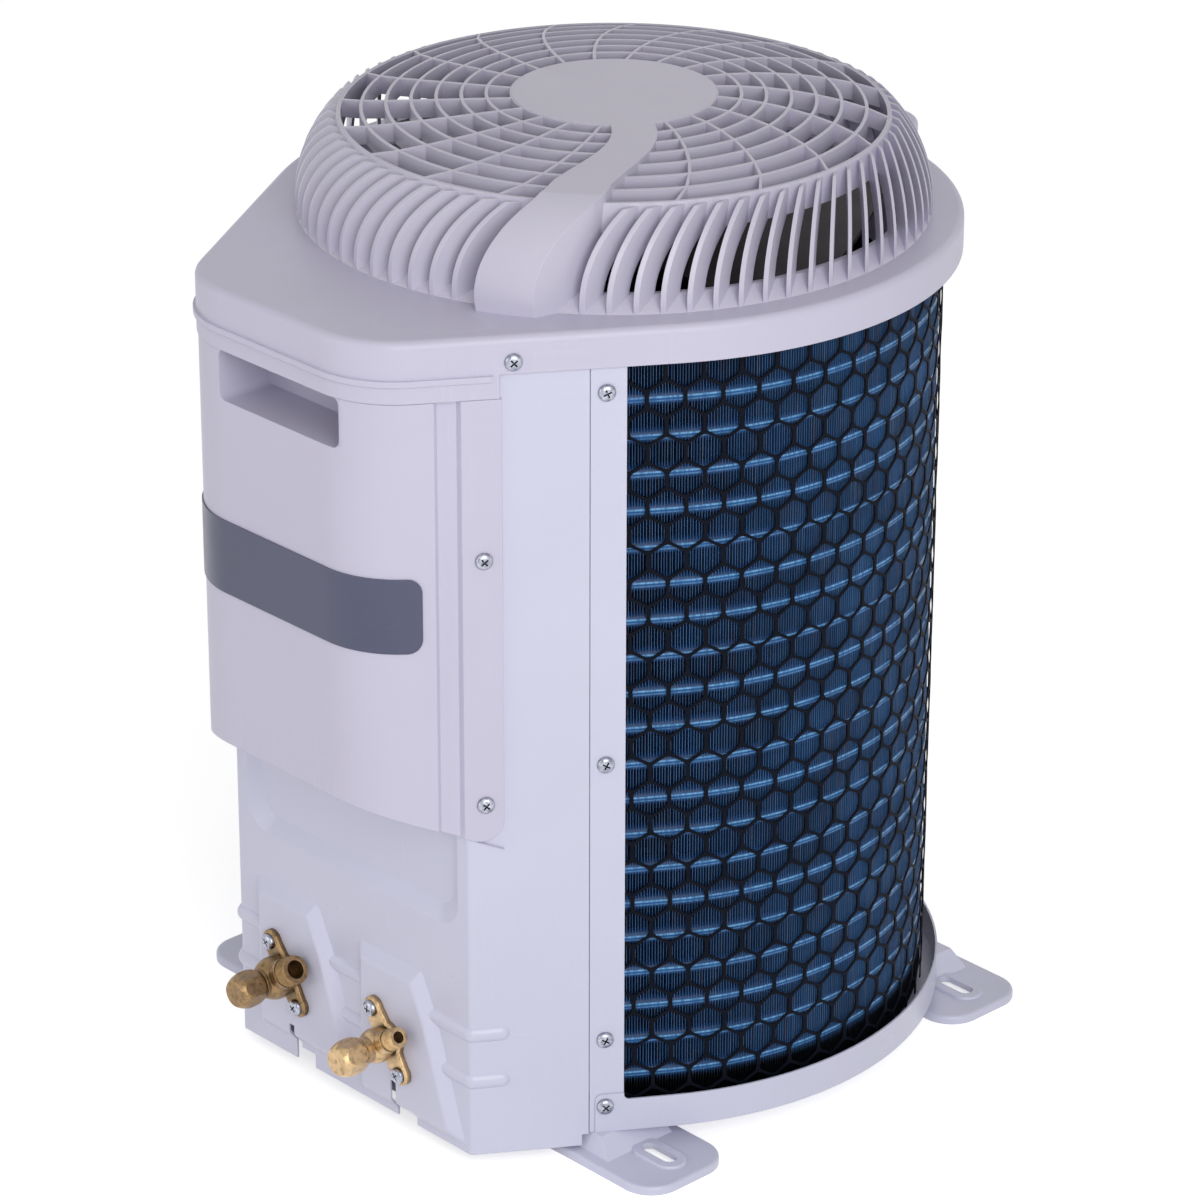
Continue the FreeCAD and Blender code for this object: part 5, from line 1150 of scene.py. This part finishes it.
@dataclass
class CoilPack:
    """Fin-and-tube coil that wraps the barrel."""

    plan: BarrelPlan
    finishes: Finishes
    end_reach: float = 34.0 * MM
    fin_pitch: float = 1.55 * MM
    fin_thickness: float = 0.22 * MM
    fin_depth: float = 11.0 * MM
    fin_jitter: float = 0.16 * MM
    tube_radius: float = 5.0 * MM
    tube_sink: float = 0.1 * MM
    fin_sink: float = 0.45 * MM
    first_row: float = 44.0 * MM
    row_pitch: float = 20.8 * MM
    rows: int = 20
    tube_sides: int = 12
    arc_stations: int = 72
    core_depth: float = 4.0 * MM
    outer: float = field(init=False)
    low: float = field(init=False)
    high: float = field(init=False)

    def __post_init__(self) -> None:
        """Take the coil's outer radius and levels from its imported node."""
        lowest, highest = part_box("coil_fins")
        self.outer = highest.x
        self.low = lowest.z
        self.high = highest.z

    def _flat_length(self) -> tuple[float, float]:
        """Ends of the wrapped path, measured at the outer radius."""
        return -self.end_reach, self.plan.arc_length(self.outer) + self.end_reach

    def _bend(self, form: Form) -> None:
        """Cut a flat bar across at even stations and bend it round the barrel.

        Args:
            form: the flat bar.
        """
        arc = self.plan.arc_length(self.outer)
        for step in range(self.arc_stations + 1):
            slice_form(form, (0.0, arc * step / self.arc_stations, 0.0), (0, 1, 0))
        self.plan.wrap(form, self.outer)

    def fins(self) -> Piece:
        """Upright fins, one thin plate each.

        Returns:
            The fins as one piece.
        """
        start, end = self._flat_length()
        chance = random.Random(SEED)
        form = bmesh.new()
        middle = self.outer - self.fin_sink - self.fin_depth / 2
        spot = Matrix.Translation((middle, 0.0, (self.low + self.high) / 2))
        size = (self.fin_depth, self.fin_thickness, self.high - self.low)
        for count in range(int((end - start) / self.fin_pitch)):
            along = start + (count + 0.5) * self.fin_pitch + chance.uniform(-1, 1) * self.fin_jitter
            add_block(form, self.plan.station(along, self.outer) @ spot, size)
        return new_piece("coil_fin_plates", form, self.finishes.get(FIN_LACQUER), smooth=False)

    def tubes(self) -> Piece:
        """Rows of tube that show between the fins.

        Returns:
            The rows as one piece.
        """
        start, end = self._flat_length()
        row = bmesh.new()
        centre = self.outer - self.tube_sink - self.tube_radius
        middle = Matrix.Translation((centre, (start + end) / 2, 0.0))
        bmesh.ops.create_cone(
            row,
            cap_ends=True,
            segments=self.tube_sides,
            radius1=self.tube_radius,
            radius2=self.tube_radius,
            depth=end - start,
            matrix=middle @ Matrix.Rotation(math.pi / 2, 4, "X"),
        )
        self._bend(row)
        single = to_mesh("tube_row", row)
        form = bmesh.new()
        for count in range(self.rows):
            add_copy(form, single, Matrix.Translation((0, 0, self.first_row + count * self.row_pitch)))
        bpy.data.meshes.remove(single)
        bmesh.ops.recalc_face_normals(form, faces=form.faces)
        return new_piece("coil_tube_rows", form, self.finishes.get(TUBE_LACQUER))

    def core(self) -> Piece:
        """Packed inner part of the coil, which no light passes.

        Returns:
            The core as one piece.
        """
        start, end = self._flat_length()
        form = bmesh.new()
        centre = self.outer - self.fin_sink - self.fin_depth - self.core_depth / 2
        spot = Matrix.Translation((centre, (start + end) / 2, (self.low + self.high) / 2))
        add_block(form, spot, (self.core_depth, end - start, self.high - self.low))
        self._bend(form)
        return new_piece("coil_core", form, self.finishes.get(CORE_SHADE))

    def build(self) -> None:
        """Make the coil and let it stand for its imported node."""
        pieces = [self.fins(), self.tubes(), self.core()]
        for piece in pieces:
            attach(piece, CABINET)
            LOG.info("built %s with %d faces", piece.name, len(piece.data.polygons))
        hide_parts("coil_fins")


@dataclass
class GuardNet:
    """Hexagonal net that keeps fingers and leaves off the coil."""

    plan: BarrelPlan
    finishes: Finishes
    end_reach: float = 26.5 * MM
    cell_width: float = 20.25 * MM
    row_pitch: float = 15.33 * MM
    side_length: float = 9.3 * MM
    side_strand: float = 2.1 * MM
    slant_strand: float = 1.55 * MM
    thickness: float = 0.8 * MM
    corner_cut: float = 2.1 * MM
    inset: float = 0.6 * MM
    corner_steps: int = 3
    first_row: float = 55.9 * MM
    first_cell: float = 10.46 * MM
    lean: float = 0.0143
    slack: float = 2.0 * MM
    wave: float = 0.45 * MM
    wave_scale: float = 34.0
    merge_reach: float = 0.02 * MM
    low: float = field(init=False)
    high: float = field(init=False)
    radius: float = field(init=False)
    start: float = field(init=False)
    end: float = field(init=False)

    def __post_init__(self) -> None:
        """Take the net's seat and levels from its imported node."""
        lowest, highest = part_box("coil_net")
        self.low = lowest.z
        self.high = highest.z
        self.radius = highest.x - self.thickness / 2 - self.inset
        self.start = -self.end_reach
        self.end = self.plan.arc_length(self.radius) + self.end_reach

    def _cell(self) -> Mesh:
        """One flat cell in the YZ plane: a ring of six strands round a hole with soft corners.

        Returns:
            The cell's mesh.
        """
        half = self.cell_width / 2
        edge = self.side_length / 2
        tip = self.row_pitch - edge
        slope = math.atan2(tip - edge, half)
        inner_half = half - self.side_strand / 2
        inner_tip = tip - self.slant_strand / 2 / math.cos(slope)
        hole = hexagon(inner_half, inner_tip - inner_half * math.tan(slope), inner_tip)

        form = bmesh.new()
        outer = [form.verts.new((0.0, spot.x, spot.y)) for spot in hexagon(half, edge, tip)]
        arcs = []
        for count, spot in enumerate(hole):
            before = spot + (hole[count - 1] - spot).normalized() * self.corner_cut
            after = spot + (hole[(count + 1) % len(hole)] - spot).normalized() * self.corner_cut
            arc = []
            for step in range(self.corner_steps + 1):
                share = step / self.corner_steps
                place = before.lerp(spot, share).lerp(spot.lerp(after, share), share)
                arc.append(form.verts.new((0.0, place.x, place.y)))
            arcs.append(arc)
        for count, arc in enumerate(arcs):
            for first, second in zip(arc, arc[1:]):
                form.faces.new((outer[count], second, first))
            after = (count + 1) % len(arcs)
            form.faces.new((outer[count], outer[after], arcs[after][0], arc[-1]))
        return to_mesh("net_cell", form)

    def _lay(self) -> Form:
        """Lay the cells flat, a little past every edge of the net.

        Returns:
            The flat net, with X as its radius.
        """
        cell = self._cell()
        form = bmesh.new()
        below = math.ceil((self.first_row - self.low) / self.row_pitch) + 1
        above = math.ceil((self.high - self.first_row) / self.row_pitch) + 1
        before = math.ceil((self.first_cell - self.start) / self.cell_width) + 1
        after = math.ceil((self.end - self.first_cell) / self.cell_width) + 2
        for row in range(-below, above + 1):
            shift = self.cell_width / 2 * (row % 2)
            up = self.first_row + row * self.row_pitch
            for column in range(-before, after + 1):
                along = self.first_cell + shift + column * self.cell_width
                add_copy(form, cell, Matrix.Translation((self.radius, along, up)))
        bpy.data.meshes.remove(cell)
        bmesh.ops.remove_doubles(form, verts=form.verts, dist=self.merge_reach)
        return form

    def _hang(self, form: Form) -> None:
        """Let the rows lean and bow as they do on the unit, and trim the net to its edges.

        Args:
            form: the flat net.
        """
        middle = (self.low + self.high) / 2
        for corner in form.verts:
            spot = corner.co
            share = (spot.z - middle) / (self.high - middle)
            spot.y -= (spot.z - self.first_row) * self.lean
            spot.z += self.slack * (1 - share * share)
        slice_form(form, (0, self.start, 0), (0, -1, 0), clear=True)
        slice_form(form, (0, self.end, 0), (0, 1, 0), clear=True)
        slice_form(form, (0, 0, self.low), (0, 0, -1), clear=True)
        slice_form(form, (0, 0, self.high), UP, clear=True)

    def _relax(self, form: Form) -> None:
        """Pull the strands a little out of true, as on a net stretched by hand.

        Args:
            form: the flat net.
        """
        noise.seed_set(SEED)
        for corner in form.verts:
            spot = corner.co
            drift = noise.noise_vector(Vector((0.0, spot.y, spot.z)) * self.wave_scale) * self.wave
            held = min(spot.z - self.low, self.high - spot.z, spot.y - self.start, self.end - spot.y)
            share = min(max(held / self.row_pitch, 0.0), 1.0)
            corner.co = spot + Vector((-abs(drift.x), drift.y, drift.z)) * share

    def build(self) -> None:
        """Make the net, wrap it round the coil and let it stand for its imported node."""
        form = self._lay()
        self._hang(form)
        self._relax(form)
        self.plan.wrap(form, self.radius)
        bmesh.ops.recalc_face_normals(form, faces=form.faces)
        bmesh.ops.solidify(form, geom=form.faces[:], thickness=self.thickness)
        piece = new_piece("coil_guard_net", form, self.finishes.get(NET_PLASTIC))
        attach(piece, CABINET)
        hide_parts("coil_net")
        LOG.info("built %s with %d faces", piece.name, len(piece.data.polygons))


@dataclass(frozen=True)
class ScrewRow:
    """One upright row of screws, alike on both side faces.

    along is measured from where the round back begins, depth from the barrel axis to the
    seats, and levels from the floor.
    """

    piece: str
    node: str
    along: float
    depth: float
    levels: tuple[float, ...]


STRIP_LINE = -37.5 * MM
SCREW_ROWS = (
    ScrewRow("lid_pan_screws", "lid_screws", -86.1 * MM, 189.4 * MM, (469.6 * MM,)),
    ScrewRow("cover_pan_screws", "cover_screws", -101.8 * MM, 188.7 * MM, (360.4 * MM, 220.3 * MM)),
    ScrewRow("strip_pan_screws", "strip_screws", STRIP_LINE, 186.7 * MM, (448.6 * MM, 237.5 * MM, 72.1 * MM)),
    ScrewRow("rim_pan_screws", "rim_screws", STRIP_LINE, 188.0 * MM, (31.5 * MM,)),
)


@dataclass
class PanScrews:
    """Pan-head screws with a cross recess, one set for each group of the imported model."""

    plan: BarrelPlan
    finishes: Finishes
    head_radius: float = 4.65 * MM
    head_height: float = 2.8 * MM
    brim: float = 0.9 * MM
    recess_reach: float = 3.0 * MM
    recess_width: float = 1.15 * MM
    recess_depth: float = 1.7 * MM
    shank_radius: float = 1.9 * MM
    shank_length: float = 9.0 * MM
    point_length: float = 2.0 * MM
    seat_edge: float = 0.15 * MM
    crown_flat: float = 0.35
    crown_steps: int = 6
    punch_over: float = 0.5 * MM
    steps: int = 40

    def _blank(self) -> Mesh:
        """Head and shank before the recess is struck.

        Returns:
            The blank, seated at the origin and facing up.
        """
        rim = self.head_radius
        outline = [
            (0.0, -self.shank_length),
            (self.shank_radius * 0.35, -self.shank_length),
            (self.shank_radius, self.point_length - self.shank_length),
            (self.shank_radius, 0.0),
            (rim - self.seat_edge, 0.0),
            (rim, self.seat_edge),
            (rim, self.brim),
        ]
        rise = self.head_height - self.brim
        for step in range(1, self.crown_steps + 1):
            turn = math.pi / 2 * step / self.crown_steps
            reach = rim * (self.crown_flat + (1 - self.crown_flat) * math.cos(turn))
            outline.append((reach, self.brim + rise * math.sin(turn)))
        outline.append((0.0, self.head_height))
        return to_mesh("screw_blank", turned_profile(outline, self.steps))

    def _punch(self) -> Mesh:
        """Tapered cross that strikes the recess.

        Returns:
            The cross, in the blank's place.
        """
        form = bmesh.new()
        middle = self.head_height - self.recess_depth / 2
        size = (2 * self.recess_reach, self.recess_width, self.recess_depth + 2 * self.punch_over)
        for turn in (0.0, math.pi / 2):
            spot = Matrix.Rotation(turn, 4, "Z") @ Matrix.Translation((0, 0, middle + self.punch_over))
            sole = [corner for corner in add_block(form, spot, size) if corner.co.z < middle]
            bmesh.ops.scale(form, verts=sole, vec=(0.5, 0.5, 1.0))
        return to_mesh("screw_punch", form)

    @cached_property
    def struck(self) -> Mesh:
        """Finished screw, seated at the origin and facing up."""
        return cut_away(self._blank(), self._punch())

    def set_in(self, name: str, node: str, places: list[Place]) -> None:
        """Make one set of screws.

        Args:
            name: the piece's name.
            node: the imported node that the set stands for.
            places: seat and outward direction of each screw.
        """
        chance = random.Random(SEED + len(places))
        form = bmesh.new()
        for seat, outward in places:
            spin = Matrix.Rotation(chance.uniform(0, math.pi / 2), 4, "Z")
            add_copy(form, self.struck, Matrix.Translation(seat) @ upright(outward) @ spin)
        piece = new_piece(name, form, self.finishes.get(SCREW_ZINC))
        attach(piece, CABINET)
        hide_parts(node)
        LOG.info("built %s with %d screws", name, len(places))

    def on_sides(self, row: ScrewRow) -> list[Place]:
        """Seats of screws that stand alike on both side faces.

        Args:
            row: where the screws stand.

        Returns:
            Seat and outward direction of each screw.
        """
        return [
            (self.plan.side_point(side, row.along, row.depth, level), self.plan.side_normal(side))
            for side in Side
            for level in row.levels
        ]

    def build(self, valves: ServiceValves) -> None:
        """Make every visible set.

        Args:
            valves: the valves, whose flanges are screwed down.
        """
        for row in SCREW_ROWS:
            self.set_in(row.piece, row.node, self.on_sides(row))
        self.set_in("valve_pan_screws", "valve_screws", valves.flange_screws())


@dataclass(frozen=True)
class ValvePort:
    """Place and flare thread of one service valve."""

    name: str
    centre_x: float
    centre_z: float
    thread_radius: float


@dataclass
class ServiceValves:
    """Gas and liquid valves: their flange screws and the threads for the flare nuts."""

    plan: BarrelPlan
    finishes: Finishes
    tilt: float = math.radians(34.0)
    flange_face: float = 204.0 * MM
    screw_spacing: float = 39.6 * MM
    port_depth: float = 210.0 * MM
    thread_start: float = 14.6 * MM
    thread_end: float = 22.4 * MM
    pitch: float = 1.3 * MM
    ridge: float = 0.42 * MM
    ridge_share: float = 0.42
    root_sink: float = 0.05 * MM
    steps_per_turn: int = 28
    gas: ValvePort = ValvePort("gas", -49.6 * MM, 64.0 * MM, 7.94 * MM)
    liquid: ValvePort = ValvePort("liquid", 36.8 * MM, 56.8 * MM, 5.55 * MM)

    def flange_screws(self) -> list[Place]:
        """Seats of the screws that hold both flanges.

        Returns:
            Seat and outward direction of each screw.
        """
        lengthwise = Vector((-math.sin(self.tilt), 0.0, math.cos(self.tilt))) * (self.screw_spacing / 2)
        places = []
        for valve in (self.gas, self.liquid):
            centre = Vector((valve.centre_x, self.plan.axis_y - self.flange_face, valve.centre_z))
            places += [(centre + lengthwise * end, Vector((0.0, -1.0, 0.0))) for end in (1, -1)]
        return places

    def _thread(self, valve: ValvePort, finish: Finish) -> None:
        """Wind the ridge of one port's thread.

        Args:
            valve: the valve whose port is threaded.
            finish: the valve's brass.
        """
        form = bmesh.new()
        root = valve.thread_radius - self.root_sink
        crest = valve.thread_radius + self.ridge
        half = self.pitch * self.ridge_share
        corners = [form.verts.new(spot) for spot in ((root, 0, -half), (crest, 0, 0), (root, 0, half))]
        form.faces.new(corners)
        turns = (self.thread_end - self.thread_start) / self.pitch
        steps = int(turns * self.steps_per_turn)
        bmesh.ops.spin(
            form,
            geom=form.faces[:],
            axis=UP,
            cent=ORIGIN,
            dvec=(0, 0, self.pitch / self.steps_per_turn),
            angle=turns * math.tau,
            steps=steps,
            use_merge=False,
        )
        bmesh.ops.recalc_face_normals(form, faces=form.faces)
        axis = Vector((math.cos(self.tilt), 0.0, math.sin(self.tilt)))
        base = Vector((valve.centre_x, self.plan.axis_y - self.port_depth, valve.centre_z))
        place = Matrix.Translation(base + axis * self.thread_start) @ upright(axis)
        bmesh.ops.transform(form, matrix=place, verts=form.verts)
        piece = new_piece(f"{valve.name}_port_thread", form, self.finishes.get(finish))
        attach(piece, CABINET)
        LOG.info("built %s", piece.name)

    def build(self) -> None:
        """Thread both ports."""
        self._thread(self.gas, GAS_BRASS)
        self._thread(self.liquid, LIQUID_BRASS)


@dataclass
class Studio:
    """Pale floor, soft lamps, white surroundings and the camera."""

    target: Vector = field(default_factory=lambda: Vector((-0.00464, 0.00379, 0.2462)))
    azimuth: float = math.radians(46.9)
    elevation: float = math.radians(24.388)
    roll: float = math.radians(0.142)
    distance: float = 2.8363
    lens: float = 152.0
    sensor: float = 36.0
    floor_half: float = 12.0
    floor_glow: float = 0.58
    surround: float = 0.43

    def camera(self) -> None:
        """Set the camera at the photograph's place."""
        flat = math.cos(self.elevation)
        away = (math.sin(self.azimuth) * flat, -math.cos(self.azimuth) * flat, math.sin(self.elevation))
        back = Vector(away)
        data = bpy.data.cameras.new("photo_camera")
        data.lens = self.lens
        data.sensor_width = self.sensor
        data.clip_start = 0.05
        data.clip_end = 60.0
        view = bpy.data.objects.new("photo_camera", data)
        bpy.context.scene.collection.objects.link(view)
        turn = (-back).to_track_quat("-Z", "Y").to_matrix().to_4x4() @ Matrix.Rotation(self.roll, 4, "Z")
        view.matrix_world = Matrix.Translation(self.target + back * self.distance) @ turn
        bpy.context.scene.camera = view

    def lamp(
        self, name: str, azimuth: float, elevation: float, distance: float, size: float, level: float
    ) -> None:
        """Hang a soft square lamp that looks at the unit.

        Args:
            name: the lamp's name.
            azimuth: degrees from +X towards +Y.
            elevation: degrees above the floor.
            distance: metres from the unit's middle.
            size: side of the lamp in metres.
            level: how brightly a white card at the unit shows, where 1 is white.
        """
        turn = math.radians(azimuth)
        rise = math.radians(elevation)
        away = Vector((math.cos(turn) * math.cos(rise), math.sin(turn) * math.cos(rise), math.sin(rise)))
        data = bpy.data.lights.new(name, "AREA")
        data.size = size
        data.energy = level * math.pi**2 * distance**2
        light = bpy.data.objects.new(name, data)
        bpy.context.scene.collection.objects.link(light)
        light.matrix_world = Matrix.Translation(self.target + away * distance) @ upright(away)

    def surroundings(self) -> None:
        """White surroundings that light the unit evenly."""
        world = bpy.data.worlds.new("studio_white")
        sheet = blank_sheet(world)
        level = sheet.spread(sheet.seen_directly(), 0.0, 1.0, self.surround, 1.0)
        back = sheet.add("ShaderNodeBackground", {"Color": WHITE, "Strength": level})
        sheet.add("ShaderNodeOutputWorld", {"Surface": back.outputs[0]})
        bpy.context.scene.world = world

    def floor(self) -> None:
        """Pale floor that keeps the unit's shadow and shows white elsewhere."""
        material = bpy.data.materials.new("pale_floor")
        sheet = blank_sheet(material)
        grain = sheet.noise(sheet.place(), 1.3, 2.0)
        shader = sheet.add(
            "ShaderNodeBsdfPrincipled",
            {
                "Base Color": sheet.blend(grain, (0.90, 0.90, 0.90, 1.0), (0.93, 0.93, 0.93, 1.0)),
                "Roughness": 0.9,
                "Emission Color": WHITE,
                "Emission Strength": sheet.sum("MULTIPLY", sheet.seen_directly(), self.floor_glow),
                "Specular IOR Level": 0.1,
            },
        )
        sheet.add("ShaderNodeOutputMaterial", {"Surface": shader.outputs["BSDF"]})
        form = bmesh.new()
        bmesh.ops.create_grid(form, x_segments=4, y_segments=4, size=self.floor_half)
        floor = new_piece("studio_floor", form, material, smooth=False)

    def build(self) -> None:
        """Set up the studio."""
        self.camera()
        self.surroundings()
        self.floor()
        self.lamp("key_lamp", azimuth=-28.0, elevation=24.0, distance=2.4, size=1.5, level=0.46)
        self.lamp("nose_lamp", azimuth=-112.0, elevation=14.0, distance=2.6, size=1.6, level=0.14)
        scene = bpy.context.scene
        scene.view_settings.view_transform = "Standard"


CAD_GROUPS = (
    CadGroup(GREY_PLASTIC, ("top_cover", "nose_cover")),
    CadGroup(GUARD_PLASTIC, ("fan_guard",)),
    CadGroup(BARE_PLATE, ("cover_plate",)),
    CadGroup(
        POWDER_COAT,
        (
            "nose_panel",
            "edge_strip_right",
            "edge_strip_left",
            "base_pan",
            "front_foot_rail",
            "rear_foot_rail",
        ),
    ),
    CadGroup(FAN_PLASTIC, ("fan_impeller",)),
    CadGroup(MOTOR_PAINT, ("fan_motor",)),
    CadGroup(BRIGHT_STEEL, ("motor_shaft",)),
    CadGroup(
        ZINC_PLATE,
        ("fan_nut", "motor_screws", "rail_bolts", "compressor_nuts", "electrical_screws"),
    ),
    CadGroup(GALVANISED, ("coil_end_plate_right", "coil_end_plate_left", "capacitor_clamp")),
    CadGroup(
        COPPER,
        ("coil_bends_right", "coil_bends_left", "suction_pipe", "discharge_pipe", "liquid_line"),
    ),
    CadGroup(COMPRESSOR_PAINT, ("compressor", "accumulator")),
    CadGroup(RUBBER, ("compressor_grommets",)),
    CadGroup(BLOCK_PLASTIC, ("compressor_terminal_cover", "terminal_block")),
    CadGroup(CAN_METAL, ("run_capacitor",)),
    CadGroup(GAS_BRASS, ("gas_valve_body", "gas_valve_cap", "terminal_clamps")),
    CadGroup(LIQUID_BRASS, ("liquid_valve_body", "liquid_valve_cap")),
    CadGroup(BRIGHT_STEEL, ("gas_valve_stem", "liquid_valve_stem")),
)


def corners(limits: tuple[Vector, Vector]) -> list[list[float]]:
    """Give a box's two corners as plain lists."""
    return [list(limits[0]), list(limits[1])]


def fan_axis(frame: dict) -> Vector:
    """Point on the axis that the fan turns about."""
    turning = next(joint for joint in frame["joints"] if joint["name"] == "fan_spin")
    return Vector(turning["pos_m"])


def main() -> None:
    """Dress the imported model, add the finer pieces and set up the studio."""
    logging.basicConfig(level=logging.INFO, format="%(name)s: %(message)s")
    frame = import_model()
    shared = SharedEffects()
    finishes = Finishes(shared)
    plan = BarrelPlan(axis_y=fan_axis(frame).y)
    for group in CAD_GROUPS:
        group.dress(frame, finishes)
    CoilPack(plan, finishes).build()
    GuardNet(plan, finishes).build()
    valves = ServiceValves(plan, finishes)
    valves.build()
    PanScrews(plan, finishes).build(valves)
    Studio().build()


if __name__ == "__main__":
    main()
